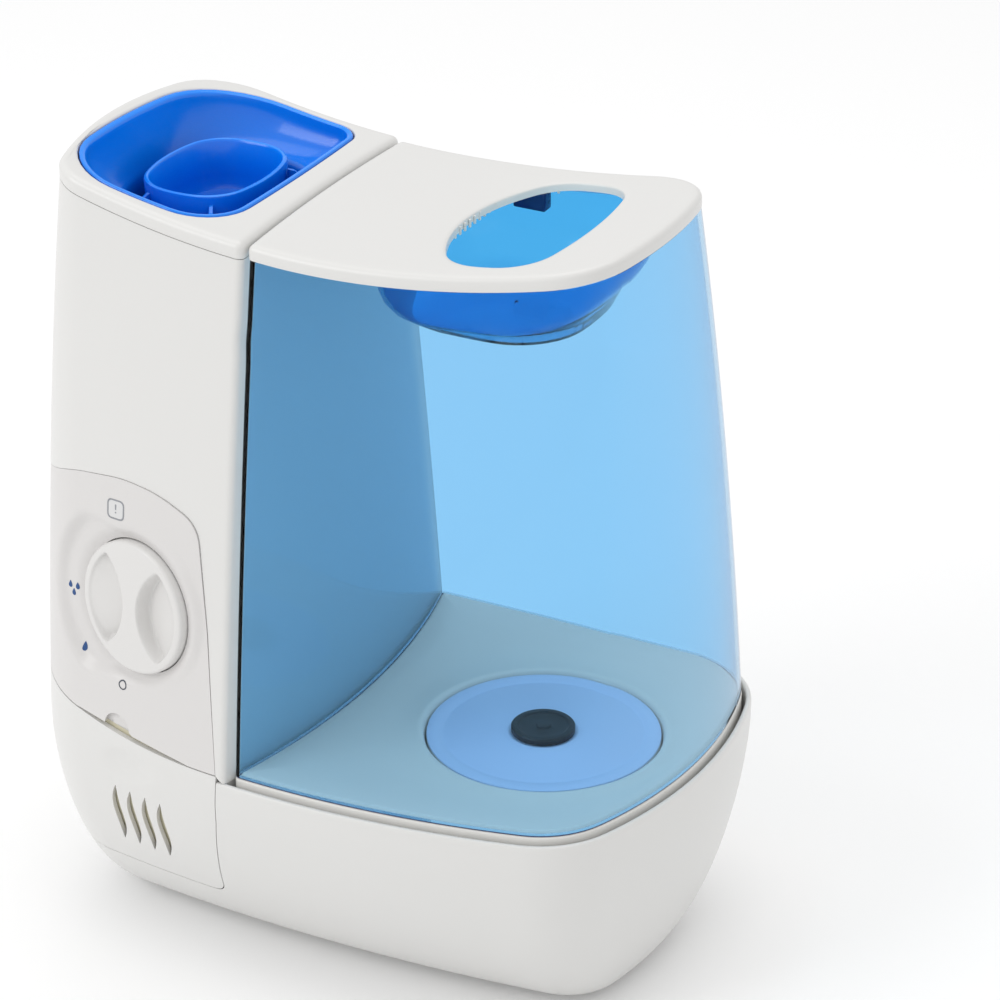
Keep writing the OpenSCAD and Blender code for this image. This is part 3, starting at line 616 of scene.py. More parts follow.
def knob_frame():
    """The dial's frame: its origin on the front, with z out of the dial's face."""
    s = (KNOB[1] - RIM) / (TOP_Z - RIM)
    r = tower_front(s)
    y = r - half_depth(s) - math.sqrt(r ** 2 - KNOB[0] ** 2)
    return (Matrix.Translation((KNOB[0], y, KNOB[1])) @ Matrix.Rotation(math.asin(KNOB[0] / r), 4, "Z")
        @ Matrix.Rotation(math.pi / 2 - TILT, 4, "X") @ Matrix.Rotation(rad(-DIAL_TURN), 4, "Y")
        @ Matrix.Rotation(rad(DIAL_LEAN), 4, "X"))


KM = np.array(knob_frame())
DIAL = Matrix(KM.tolist())
DIAL.translation = DIAL.translation * MM
KI = np.linalg.inv(KM)
KNOB_R, KNOB_SINK, KNOB_SIDES = 28.5, 6.6, 240


def dish(p, t):
    """Turns the surface round the knob to face with it, in a soft shallow dish."""
    q = np.column_stack([p, np.ones(len(p))]) @ KI.T
    r = np.hypot(q[:, 0], q[:, 1])
    own = 1 - smooth(KNOB_R + 1.5, KNOB_R + 8.0, r - 9.0 * smooth(6, 30, -q[:, 0]))
    floor = -1.2 - 2.0 * (1 - smooth(KNOB_R, KNOB_R + 7, r)) - t
    lift = own * (floor - q[:, 2]) * (p[:, 1] < -30)
    return p + lift[:, None] * KM[:3, 2]


def grip_dent(p, t):
    """The shallow thumb dent under the notch, in the lower cover."""
    u, v = (p[:, 0] + 76) / 17.0, (p[:, 2] - 92) / 9.0
    r = np.hypot(u, v)
    d = 1.5 * (1 - smooth(0.25, 1.0, r)) * (p[:, 1] < -40)
    out = p.copy()
    out[:, 1] += d
    return out


# ------------------------------ base
def base_levels(n=26):
    ph = np.linspace(math.pi / 2, 0, n)
    return [BOWL_Z - (BOWL_Z - UNDER) * math.sin(a) ** (2 / BOWL_P) for a in ph]


lv = base_levels()
outer = [base_section(z, 0) for z in lv[1:]] + [base_section(z, 0) for z in (94, 97, 98.8)]
outer = [base_section(3.0, 1.6), base_section(3.05, 0.9)] + outer
lip = [base_section(RIM - 1.2 + 1.2 * math.sin(rad(a)), 1.2 - 1.2 * math.cos(rad(a))) for a in (30, 60, 90)]
lip += [base_section(RIM - 1.2 + 1.2 * math.cos(rad(a)), 1.2 + 1.2 * math.sin(rad(a)))
    for a in (30, 60, 90)]
inner = [base_section(z, WALL) for z in (96, 90, 80, 66, 50, 35, 22, 12, 6, 3)]
shell = skin("base_body", outer + lip + inner)
shell_ref = surface_of(shell)

V_RIGHT, V_LOW = -29.0, 34.0
seam_x = np.linspace(-30, -170, 40)


def vent_poly(g):
    """The lower cover seen from the front; g draws its edge in."""
    low = fillet([(-170, V_LOW + g), (V_RIGHT - 9 - g, V_LOW + g), (V_RIGHT - 1.5 - g, 80)], [0, 8, 0], 8)
    top = [(x, seam_z(x) - g) for x in seam_x if x < V_RIGHT - g]
    return np.concatenate([low, [(V_RIGHT - g, 103 - g)], top])


def panel_poly(g):
    """The upper front panel seen from the front."""
    side = [(-29.5 - g, 103.0 + g), (-35.5 - g, 165), (-42.0 - g, 209 - g), (-62, 217.2 - g),
        (-80, 219.4 - g), (-105, 216.8 - g), (-135, 207 - g), (-170, 194 - g)]
    side = fillet(side, [0, 60, 15, 60, 60, 60, 60, 0], 8)
    low = [(x, seam_z(x) + g) for x in seam_x[::-1]]
    return np.concatenate([side, [(-170, seam_z(-170.0) + g)], low[1:]])


boolean(shell, prism("c", vent_poly(0.0), -130, -36))
keep_shading(shell, shell_ref)
place(shell, "white", "base", ["base_shell"])

# lower front cover with its four flame-shaped slots
zs = [z for z in base_levels(44) if z > 22] + list(np.linspace(92, 134, 30))
cover = patch("lower_cover", sorted(zs), WALL, grip_dent)
cover_ref = surface_of(cover)
boolean(cover, prism("c", vent_poly(0.35), -130, -36.4), "INTERSECT")


def flame(cx, cz, w=4.1, h=15.6):
    """A slot that swells in the middle, comes to a point at both ends, and leans in an S."""
    k = np.linspace(-1, 1, 25)
    mid = cx - 1.0 * np.sin(k * math.pi * 0.9) + 1.5 * k
    half = w / 2 * (1 - np.abs(k) ** 2.2) + 0.1
    z = cz + h * k
    return np.concatenate([np.column_stack([mid - half, z]), np.column_stack([mid + half, z])[::-1]])


for i in range(4):
    boolean(cover, prism("c", flame(-84.9 + 8.0 * i, 64.2 - 0.2 * i), -120, -40))
keep_shading(cover, cover_ref)
place(cover, "white", "vent_cover", ["vent_panel"])
lz = [44, 50, 56, 62, 68, 74, 80, 86]
liner = skin("slot_liner", [np.concatenate([p, (p + [0, 1.2, 0])[::-1]])
    for p in (np.array([q for q in front_line(z, 3.1, -54, 20, (8, 40, 60))][-70:]) for z in lz)],
    ends="flat")
place(liner, "liner", "vent_cover")

plate = skin("bottom_plate", [base_section(3.0, 4.5), base_section(3.0, 3.0), base_section(3.4, 2.7),
    base_section(6.0, WALL + 1.4), base_section(6.0, WALL + 4)], ends=True)
for spot in FOOT_SPOTS:
    boolean(plate, lathe("c", [(0.01, -1), (7.5, -1), (7.5, 3.9), (0.01, 3.9)], c=spot))
screw_spots = [(-82 + 36.2 * math.cos(rad(a)), 36.2 * math.sin(rad(a))) for a in (45, 135, 225, 315)]
screw_spots += [(45, -28), (45, 28)]
for x, y in screw_spots:
    boolean(plate, lathe("c", [(0.01, -1), (3.2, -1), (3.2, 4.5), (1.9, 4.5), (1.9, 9), (0.01, 9)],
        c=(x, y), n=48))
for i in range(9):
    boolean(plate, prism("c", fillet([(-100 + 4.5 * i, -13), (-98 + 4.5 * i, -13), (-98 + 4.5 * i, 13),
        (-100 + 4.5 * i, 13)], 0.95), 1, 9, "z"))
shade(plate)
place(plate, "white", "base", ["base_plate"])

feet = [lathe("f", [(0.01, 0), (5.6, 0), (6.5, 0.35), (6.95, 1.1), (7.0, 2.2), (7.0, 3.85),
    (0.01, 3.85)], c=spot, n=64) for spot in FOOT_SPOTS]
place(join("feet", feet), "foot", "base", ["rubber_feet"])

heads = []
for x, y in screw_spots:
    h = lathe("s", [(0.01, 3.5), (1.0, 3.45), (2.4, 3.35), (2.85, 3.8), (2.85, 4.4), (1.5, 4.4),
        (1.5, 14.6), (0.01, 15)], c=(x, y), n=40)
    for a in (0, 90):
        b = prism("c", fillet([(-1.7, -0.35), (1.7, -0.35), (1.7, 0.35), (-1.7, 0.35)], 0.1, 2), 2, 4.1,
            "z")
        b.data.transform(turned(x, y, a + 20))
        boolean(h, b)
    heads.append(h)
place(join("bottom_screws", heads), "steel", "base", ["base_screws"])

# ------------------------------ tower
sl = [0, 0.003] + list(np.linspace(0.03, 0.97, 26)) + [0.997, 1]
tower = skin("tower_shell", [tower_section(s, 0, RIM + 0.15, CAP_H) for s in sl]
    + [tower_section(s, WALL, RIM + 0.15, CAP_H) for s in (1, 0.8, 0.6, 0.4, 0.2, 0)])
tower_ref = surface_of(tower)
boolean(tower, prism("c", np.concatenate([panel_poly(0.0)[:-40], [(-170, 95), (-20, 95), (-29.5, 103)]]),
    -130, -38))
keep_shading(tower, tower_ref)
place(tower, "white", "base", ["tower_housing"])
foot = skin("tower_spigot", [tower_section(0, 4.3, 80.5, 0, 0), tower_section(0, 2.9, 92, 0, 0),
    tower_section(0, 2.9, 100.4, 0, 0), tower_section(0, 5.3, 100.4, 0, WALL),
    tower_section(0, 5.3, 92, 0, WALL), tower_section(0, 6.7, 80.5, 0, WALL)])
place(foot, "white", "base")

# upper front panel
zs = np.concatenate([np.linspace(101, 128, 22), np.linspace(129.3, 203, 62), np.linspace(205, 225, 12)])
panel = patch("front_panel", zs, WALL, dish)
panel_ref = surface_of(panel)
boolean(panel, prism("c", panel_poly(0.22), -130, -38.4), "INTERSECT")
NOTCH = (-81.0, 108.6)
notch = [(NOTCH[0] + 6.6 * math.cos(rad(a)), NOTCH[1] + 6.4 * math.sin(rad(a))) for a in range(0, 181, 9)]
notch = notch + [(NOTCH[0] - 9.5, NOTCH[1] - 0.4), (NOTCH[0] - 9, NOTCH[1] - 9),
    (NOTCH[0] + 9, NOTCH[1] - 9), (NOTCH[0] + 9.5, NOTCH[1] - 2.2)]
boolean(panel, prism("c", fillet(notch, 1.0, 2), -130, -60))
gx = np.linspace(-103, -44, 30)
gap = np.concatenate([np.column_stack([gx, seam_z(gx) + 0.3
    + 1.7 * np.sin(np.linspace(0, math.pi, 30)) ** 0.8]), [(-44, 98), (-103, 98)]])
boolean(panel, prism("c", gap, -130, -60))
hole = lathe("c", [(0.01, -8), (KNOB_R + 0.45, -8), (KNOB_R + 0.45, 9), (0.01, 9)], n=160)
hole.data.transform(DIAL)
boolean(panel, hole)
keep_shading(panel, panel_ref)
place(panel, "panel", "base", ["control_panel"])
dial_well = lathe("dial_well", [(5.5, -7.6), (KNOB_R + 1.4, -7.6), (KNOB_R + 1.9, -7.2),
    (KNOB_R + 1.9, -4.4), (KNOB_R + 0.6, -4.4), (KNOB_R + 0.6, -6.9), (5.5, -6.9)], n=160)
dial_well.data.transform(DIAL)
place(dial_well, "panel", "base")

# what shows behind the notch and along the open seam
recess = [front_line(z, 2.7 + 0.02 * (z - 100), -42, 20) for z in np.linspace(98, 118, 10)]
recess = [np.array([q for q in p if -107 < q[0] < -40]) for p in recess]
k = min(len(p) for p in recess)
recess = [p[-k:] for p in recess]
rings = [np.concatenate([p, (p + [0, 1.2, 0])[::-1]]) for p in recess]
place(skin("seam_backing", rings, ends="flat"), "liner", "base")
floor = skin("notch_floor", [np.concatenate([p + [0, -0.9, 0], p[::-1] - [0, 0.1, 0]]) for p in recess],
    ends="flat")
nx = np.linspace(-93, -69, 20)
boolean(floor, prism("c", np.concatenate([np.column_stack([nx, seam_z(nx) + 2.1]),
    [(-69, 117), (-93, 117)]]), -130, -60), "INTERSECT")
place(floor, "panel", "base")

# top cap, with its rounded edge and the opening for the cup
def cup_outline(t, drop):
    p = section(-120.6 + t, -41.5 - t, -55.5 + t, 61 - t, 1000 - t, 1200 - t, 1200, 300 - t, 20, -15,
        [24 - t, 11 - t, 40 - t, 28 - t], -76)
    return np.column_stack([p, top_at(p[:, 0]) - drop])


def cap_ring(k):
    a, b = tower_section(1, 3.4)[:, :2], cup_outline(-0.9, 0)[:, :2]
    p = mix(a, b, k)
    return np.column_stack([p, top_at(p[:, 0])])


R = 3.2
cap = [tower_section(1, 0.0, RIM, CAP_H - 0.35), tower_section(1, -0.1, RIM, CAP_H - 0.7),
    tower_section(1, -0.1, RIM, R + 0.3)]
cap += [tower_section(1, R * versed(a) - 0.1, RIM, R * coversed(a)) for a in (15, 30, 45, 60, 75)]
cap += [cap_ring(x) for x in (0.02, 0.25, 0.5, 0.75, 0.98)]
cap += [cup_outline(-0.45, 0.12), cup_outline(-0.12, 0.45), cup_outline(0, 0.9),
    cup_outline(0, CAP_H - 0.35)]
place(skin("top_cap", cap), "white", "base", ["tower_cap"])

# ------------------------------ blue cup
CUP = (-79.0, 3.0)
CUP_LOW = 284.0
CUP_TOP = float(top_at(CUP[0])) - 7.0


def oval(t, z):
    return at_z(section(CUP[0] - 25 + t, CUP[0] + 25 - t, CUP[1] - 32 + t, CUP[1] + 32 - t, 45 - t,
        70 - t, 45 - t, 70 - t, CUP[1], CUP[1], [19.5 - t] * 4, CUP[0]), z)


def funnel(w, drop, t=0.0, z=None):
    """A ring of the funnel, w of the way in from the lip to the throat."""
    a, b = cup_outline(3.2 + t, 0), oval(-7.5 + t, 0)
    p = mix(a, b, w)
    p[:, 2] = (mix(a[:, 2], CUP_TOP + 7, w) - drop) if z is None else z
    return p


def bowl_step(a, t=0.0, d=0.0):
    return funnel(0.86 * versed(a) / (1 - math.cos(rad(82))), 0.9 + d + 15.5 * math.sin(rad(a)), t)


cup = [funnel(1, 0, -1.8, CUP_LOW), funnel(1, 23, -1.8), funnel(0.9, 19.4, -1.8)] + [bowl_step(a, -1.8,
    1.2) for a in (76, 60, 45, 30, 18)]
cup += [cup_outline(0.55, 3.5), cup_outline(0.5, 1.0), cup_outline(0.65, 0.35), cup_outline(1.1, -0.1),
    cup_outline(1.8, -0.15), cup_outline(2.5, 0.1), cup_outline(3.0, 0.5)]
cup += [bowl_step(a) for a in (3, 8, 14, 20, 27, 34, 41, 48, 55, 62, 69, 76, 82)]
cup += [funnel(0.92, 17.2), funnel(0.965, 18.6), funnel(0.99, 20.4), funnel(1, 23), funnel(1, 0, 0, 300),
    funnel(1, 0, 0, CUP_LOW)]
funnel_o = skin("f", cup, sharp=60)
bowl = [oval(9, 300.8), oval(5, 301), oval(2.6, 302), oval(1.2, 304), oval(0.5, 308),
    oval(-0.2, CUP_TOP - 1.2), oval(0.1, CUP_TOP - 0.4), oval(0.9, CUP_TOP), oval(1.7, CUP_TOP - 0.25),
    oval(2.3, CUP_TOP - 1.2), oval(2.9, 311), oval(3.4, 307.2), oval(4.4, 305.2), oval(6.5, 304.3),
    oval(14, 304.1)]
bowl_o = skin("b", bowl, ends=True, sharp=60)
pieces = [funnel_o, bowl_o]
for a, lo, hi in ((38, 29.5, 40), (117, 30.5, 44), (243, 30.5, 42.5), (297, 30.5, 42.5)):
    top = CUP_TOP - 3.4
    prof = [(lo, 303), (39.5, 303), (39.5, top - 12), (hi, top - 6), (hi, top - 2.6),
        (hi - 3, top - 2.9), (mix(lo, hi, 0.45), top - 2.3), (lo + 2.6, top - 0.6), (lo, top)]
    rib = prism("r", fillet(prof, [0, 0, 0, 0, 1, 1, 3, 1.5, 0], 4), -0.9, 0.9, "y", bevel=0.4)
    rib.data.transform(turned(*CUP, a))
    pieces.append(rib)
arc_pts = [(CUP[0] - 12 + 60 * math.cos(rad(a)) - 42, CUP[1] + 60 * math.sin(rad(a)) - 10)
    for a in np.linspace(-12, 33, 16)]
ridge = np.array(arc_pts)
ridge = np.concatenate([ridge, (ridge + [0.5, 0.1])[::-1]])
pieces.append(prism("r", ridge, 303.8, 304.7, "z"))
pieces.append(lathe("p", [(0.01, 303.6), (1.9, 303.6), (1.75, 307.0), (1.4, 307.6), (0.01, 307.8)],
    c=(CUP[0] + 14, CUP[1] + 13), n=32))
place(join("cup", pieces), "blue", "cup", ["medicine_cup"])

# ------------------------------ knob
def knob_height(x, y):
    """Top of the knob: a low dome with a scoop on each side of a waisted grip."""
    r = np.hypot(x, y)
    h = 7.6 + 1.5 * (1 - (r / KNOB_R) ** 2)
    for sx in (-1, 1):
        w = 24.6 - np.hypot(x - sx * 28.2, y)
        e = 25.7 - r
        inside = (w > 0) & (e > 0)
        wc, ec = np.where(inside, w, 1.0), np.where(inside, e, 1.0)
        d = 7.0 * smooth(0, 2.6, wc) * (ec / (ec + 0.75 * wc)) ** 0.85 * smooth(0, 1.6, ec)
        h = h - np.where(inside, d, 0)
    return h


edge_h = float(knob_height(np.array([KNOB_R - 1.4]), np.array([0.0]))[0])
rings = [circle(r, z, KNOB_SIDES) for r, z in ((8, 0.3), (KNOB_R - 1.5, 0.3), (KNOB_R - 0.3, 0.8),
    (KNOB_R, 1.8), (KNOB_R, 6.0))]
rings += [circle(KNOB_R - 1.4 * (1 - math.cos(rad(90 * k))), 6.0
    + (edge_h - 6.0) * math.sin(rad(90 * k)), KNOB_SIDES) for k in (0.2, 0.4, 0.6, 0.8, 1.0)]
for r in np.linspace(KNOB_R - 1.8, 0.5, 80):
    c = circle(r, 0, KNOB_SIDES)
    c[:, 2] = knob_height(c[:, 0], c[:, 1])
    rings.append(c)
knob = skin("knob_cap", rings, ends=True, sharp=60)
knob.data.transform(DIAL @ Matrix.Translation((0, 0, -KNOB_SINK * MM)))
place(knob, "knob", "knob", ["control_knob"])

# ------------------------------ marks on the front
panel_tree = BVHTree.FromObject(panel, bpy.context.evaluated_depsgraph_get())


def on_front(x, z, out=0.06):
    """The point of the panel at x and z, lifted off it by out."""
    hit = panel_tree.ray_cast(Vector((x * MM, -0.2, z * MM)), Vector((0, 1, 0)))
    if hit[0] is None:
        raise ValueError("a mark misses the panel")
    p = (hit[0] + hit[1] * out * MM) / MM
    return [p.x, p.y, p.z]


def mark(name, outer, inner=None, mat="ink", thick=0.12):
    """A printed mark: a thin closed shape that follows the panel."""
    outer = np.asarray(outer)
    inner = np.asarray(inner) if inner is not None else mix(outer, outer.mean(0), 0.98)
    n = len(outer)
    layers = [[on_front(x, z, o) for x, z in p] for p, o in ((outer, -0.05), (outer, thick),
        (inner, thick), (inner, -0.05))]
    return place(skin(name, [np.array(q) for q in layers]), mat, "base")


def drop(cx, cz, h=3.1, w=2.3):
    """A water drop, pointed at the top."""
    k = np.linspace(0, 2 * math.pi, 40, endpoint=False)
    return np.column_stack([cx + w / 2 * np.sin(k) * np.sin(k / 2) ** 1.1 * 1.12, cz + h / 2 * np.cos(k)])


for i, (x, z) in enumerate(((-109.9, 162.3), (-105.9, 162.5), (-107.9, 159.3))):
    mark("drop_%d" % (i + 1), drop(x, z))
mark("drop_low", drop(-101.2, 137.3, 3.9, 2.7))
a = np.linspace(0, 2 * math.pi, 48, endpoint=False)
mark("ring_off", np.column_stack([-77.9 + 2.05 * np.cos(a), 129.0 + 2.05 * np.sin(a)]),
    np.column_stack([-77.9 + 1.55 * np.cos(a), 129.0 + 1.55 * np.sin(a)]), "ink_dark")
LX, LZ, LH = -82.6, 205.2, 4.3


def square(h, r):
    return fillet([(LX - h, LZ - h), (LX + h, LZ - h), (LX + h, LZ + h), (LX - h, LZ + h)], r, 6)


mark("lamp_frame", square(LH, 2.4), square(LH - 0.6, 1.9), "ink_grey")
panel_lens = mark("lamp_window", square(LH - 0.65, 1.9), None, "lens", 0.04)
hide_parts("indicator_lens")
mark("lamp_bar", fillet([(LX - 0.28, LZ - 0.2), (LX + 0.28, LZ - 0.2), (LX + 0.38, LZ + 2.2),
    (LX - 0.38, LZ + 2.2)], 0.2, 3), None, "ink_grey", 0.09)
mark("lamp_dot", np.column_stack([LX + 0.36 * np.cos(a), LZ - 1.3 + 0.36 * np.sin(a)]), None, "ink_grey",
    0.09)

# ------------------------------ tray
def well(z, t, k=None):
    k = (LEDGE - z) / (LEDGE - WELL) if k is None else k
    x0, x1, y, e = mix(9.5, 26, k) - t, mix(129, 118, k) + t, mix(70, 57, k) + t, mix(10, 14, k) + t
    return at_z(section(x0, x1, -y, y, 300 + t, 150 + t, 900 + t, 900 + t, 0, 0, [34 + t, 34 + t, e, e],
        60), z)


def ledge(z, t):
    a, b, rc = BODY_LEN / 2 - DRAFT - t, BODY_DEPTH / 2 - DRAFT - t, CORNER_R - t
    return at_z(section(-28, a, -b, b, FRONT_R - t, END_R - t, BACK_R, BACK_R, END_Y, 0, [rc, rc, 3, 3]), z)


tr = [ledge(77.6, 4.2), ledge(77.6, 2.9), ledge(79.7, 2.75), ledge(LEDGE, 3.1)]
tr += [mix(ledge(LEDGE, 3.1), well(LEDGE, 4.2, 0), x) for x in (0.35, 0.7)]
RT = 4.0
for a in (0, 15, 30, 45, 60, 75):
    d = RT * coversed(a)
    tr.append(well(LEDGE - RT * versed(a), d, RT * versed(a) / 30))
tr += [well(z, 0) for z in np.linspace(LEDGE - RT, WELL + 6, 7)]
for a in (15, 30, 45, 60, 75, 90):
    z = WELL + 6 * coversed(a)
    tr.append(well(z, -6 * versed(a)))
tr += [mix(well(WELL, -6), np.array([VALVE_X, 0, WELL]), k) for k in (0.15, 0.4, 0.7, 0.97)]
under = [mix(well(WELL - WALL, -6, 1), np.array([VALVE_X, 0, WELL - WALL]), 0.97),
    well(WELL - WALL, -6, 1), well(WELL - WALL + 2, 0.5), well(WELL + 5, WALL), well(LEDGE - 8, WALL),
    well(LEDGE - WALL - 3, WALL + 1.5)]
body = skin("tray_body", tr + under, sharp=50)
tray_ref = surface_of(body)


def box(x0, x1, y0, y1, z0, z1, r=0.0, name="c", bevel=0.0):
    p = [(x0, y0), (x1, y0), (x1, y1), (x0, y1)]
    return prism(name, fillet(p, r, 6) if r else p, z0, z1, "z", bevel)


CH = [(-13.5, -76), (5.5, -76), (5.5, 20.5), (9.5, 34), (14.5, 42), (14.5, 66), (-20, 66), (-20, 24),
    (-13.5, 22)]
rim_in = fillet(CH, [3, 3, 2, 4, 2, 4, 4, 2, 1], 5)
boolean(body, prism("c", rim_in, 50, 100, "z"))
boolean(body, box(14, 30, 41.8, 50.3, 50.3, 54.6, 1.0))
keep_shading(body, tray_ref)


def grow(p, d):
    e = np.roll(p, -1, 0) - np.roll(p, 1, 0)
    n = np.column_stack([e[:, 1], -e[:, 0]]) / np.maximum(np.hypot(e[:, 0], e[:, 1]), 1e-9)[:, None]
    return p + n * d


wall_top = [(0.0, 57.0), (0.0, 78.6), (0.35, 79.35), (0.9, 79.6), (1.5, 79.35), (1.8, 78.6), (1.8, 55.2),
    (0.0, 55.2)]
channel = skin("tray_channel", [at_z(grow(rim_in, d), z) for d, z in wall_top], sharp=60)
floor = prism("c", rim_in, 55.2, 57.0, "z")
gus = [(-13.8, 22.0), (5.6, 20.4), (5.6, 22.6), (-12.2, 24.6)]
gusset = prism("g", gus, 57.0, 79.2, "z", bevel=0.3)
tab = prism("t", fillet([(-20.4, 57), (-5.4, 57), (-5.4, 78.3), (-20.4, 78.3)], [0, 0, 4.2, 1.2], 8), 60,
    61.9, "y", bevel=0.4)
boolean(tab, prism("c", fillet([(-15.4, 71.2), (-11.6, 71.2), (-11.6, 72.6), (-15.4, 72.6)], 0.6, 3), 55,
    66, "y"))
rib = box(-20.2, -16.8, 57.5, 60.2, 57, 79.4, 0.6, "r", 0.3)
seat = lathe("v", [(22.6, 49.9), (22.6, 51.2), (23.2, 51.7), (27.2, 51.7), (28.0, 51.2), (28.6, 49.9)],
    c=(VALVE_X, 0), n=120)
pin = lathe("v", [(0.01, 49.9), (7.5, 49.9), (6.2, 50.5), (5.4, 51.6), (3.2, 52.2), (2.8, 53.2),
    (2.65, 56.2), (2.2, 56.9), (0.01, 57.0)], c=(VALVE_X, 0), n=64)
tray_bits = join("tray_walls", [channel, floor, gusset, tab, rib, seat, pin])
place(body, "tray", "base", ["water_tray"])
place(tray_bits, "tray", "base")

# blue slide lock
def lbox(x0, x1, y0, y1, z0, z1, r=0.8, bevel=0.5):
    return box(x0, x1, y0, y1, z0, z1, r, "l", bevel)


lat = [lbox(-12.6, 4.7, -64.8, -24.5, 66, 72, 1.2, 0.7), lbox(-8.7, 4.7, -26, 17, 62, 69, 0.6, 0.6),
    prism("l", fillet([(-8.6, 12.6), (4.8, 12.6), (4.8, 19.9), (-12.7, 19.9), (-12.7, 16.6)], 0.8, 4),
    62.2, 76, "z", bevel=0.6), lbox(-12.6, -8.8, -30, -24.6, 64.5, 72.0, 0.8, 0.6),
    lbox(-5.9, 0.1, -60, -54, 57.6, 67), lbox(-5.9, 0.1, 4, 10, 57.6, 63)]
tri = [(-6.6, -52.6), (-1.6, -52.6), (-4.1, -57.4)]
lat.append(prism("l", fillet(tri, 0.4, 3), 71.9, 72.35, "z", bevel=0.15))
for i in range(4):
    lat.append(lbox(-10.6, 2.6, -46.0 + 4.2 * i, -44.7 + 4.2 * i, 71.8, 72.6, 0.5, 0.3))
place(join("slide_lock", lat), "latch", "latch", ["tray_latch"])

# ------------------------------ tank
sl = [0, 0.003] + list(np.linspace(0.03, 0.97, 24)) + [0.997, 1]
tank = skin("tank_wall", [tank_section(s, 0.2, SHELL_Z, LID_H) for s in sl]
    + [tank_section(s, 2.4, SHELL_Z, LID_H) for s in sl[::-1]], sharp=50)
place(tank, "tank", "tank", ["tank_shell"])

RB = 9.0
tb = [tank_section(0, 9.5, TANK_Z), tank_section(0, 7.0, TANK_Z)]
tb += [tank_section(0, RB * 0.75 * coversed(a), TANK_Z + RB * versed(a)) for a in (15, 30, 45, 60, 75,
    90)]
tb += [tank_section(0, 0, 95), tank_section(0, 0, 101.4), tank_section(0, 0.25, 102.0),
    tank_section(0, 0.8, 102.2)]
tb += [tank_section(0, 2.0, 102.2), tank_section(0, 2.6, 102.3), tank_section(0, 3.4, 103.6),
    tank_section(0, 4.6, 104.0)]


def round_ring(r, c=(VALVE_X, 0.0)):
    """A circle with the point order of a tank section, so the two can be joined by a skin."""
    p = tank_section(0, 8)[:, :2] - np.array(c)
    a = np.unwrap(np.arctan2(p[:, 1], p[:, 0]))
    return np.column_stack([c[0] + r * np.cos(a), c[1] + r * np.sin(a)])


def hole(r, z):
    return at_z(round_ring(r), z)


tb += [mix(tank_section(0, 4.6, 104.0), hole(55, 103.4), k) for k in (0.3, 0.65)]
tb += [hole(54.5, 103.3), hole(53.2, 103.9), hole(51.2, 103.9), hole(50.2, 103.3), hole(49.4, 101.5),
    hole(49.3, 86.2), hole(52.3, 86.2), hole(52.3, 99.5)]
tb += [mix(hole(52.3, 99.5), tank_section(0, 6, 99.5), 0.7), tank_section(0, 6, 99.5),
    tank_section(0, 7, 90), tank_section(0, 9.5, 82.0)]
place(skin("tank_foot", tb, sharp=50), "tray", "tank", ["tank_base"])
gk = skin("tank_seal", [tank_section(0, 0.6, 102.35), tank_section(0, 0.45, 102.6),
    tank_section(0, 0.6, 102.9), tank_section(0, 2.3, 102.9), tank_section(0, 2.3, 102.35)])
place(gk, "navy", "tank", ["tank_gasket"])


def hand(t, drop):
    p = section(38 + t, 93 - t, -46 + t, 48 - t, 62 - t, 180 - t, 62 - t, 72 - t, 2, 0,
        [19 - t, 17 - t, 20 - t, 20 - t], 66)
    return np.column_stack([p, top_at(p[:, 0]) - drop])


def lid_ring(k):
    p = mix(tank_section(1, 3.6)[:, :2], hand(-0.9, 0)[:, :2], k)
    return np.column_stack([p, top_at(p[:, 0])])


ld = [tank_section(1, 0.0, SHELL_Z, LID_H - 0.25), tank_section(1, -0.05, SHELL_Z, LID_H - 0.6),
    tank_section(1, -0.05, SHELL_Z, 3.4)]
ld += [tank_section(1, 3.2 * versed(a) - 0.05, SHELL_Z, 3.2 * coversed(a)) for a in (15, 30, 45, 60, 75)]
ld += [lid_ring(k) for k in (0.02, 0.25, 0.5, 0.75, 0.98)]
ld += [hand(-0.45, 0.12), hand(-0.12, 0.45), hand(0, 0.9), hand(0, 3.4), hand(-2, 3.6)]
ld += [tank_section(1, 5, SHELL_Z, 3.6), tank_section(1, 4, SHELL_Z, LID_H - 0.25)]
place(skin("tank_top", ld, sharp=50), "white", "tank", ["tank_lid"])


def pocket(t, k, drop):
    y = mix(50, 38, k) - t
    p = section(mix(14, 28, k) + t, mix(109, 96, k) - t, -y, y, 240 - t, 160 - t, 400 - t, 400 - t, 2, 0,
        [28 - t, 26 - t, 18 - t, 18 - t], 60)
    return np.column_stack([p, top_at(p[:, 0]) - drop])


def bowl_profile(t):
    out = [(0, 4.1), (0.0, 6), (0.02, 12), (0.08, 18), (0.2, 23), (0.42, 27.4), (0.7, 30.4),
        (1.0, 32.6 - t * 0.6)]
    return [pocket(t, k, d) for k, d in out]


def flat_ring(p, k):
    q = mix(p, np.append(p[:, :2].mean(0), 0)[None, :], k)
    q[:, 2] = p[:, 2]
    return q


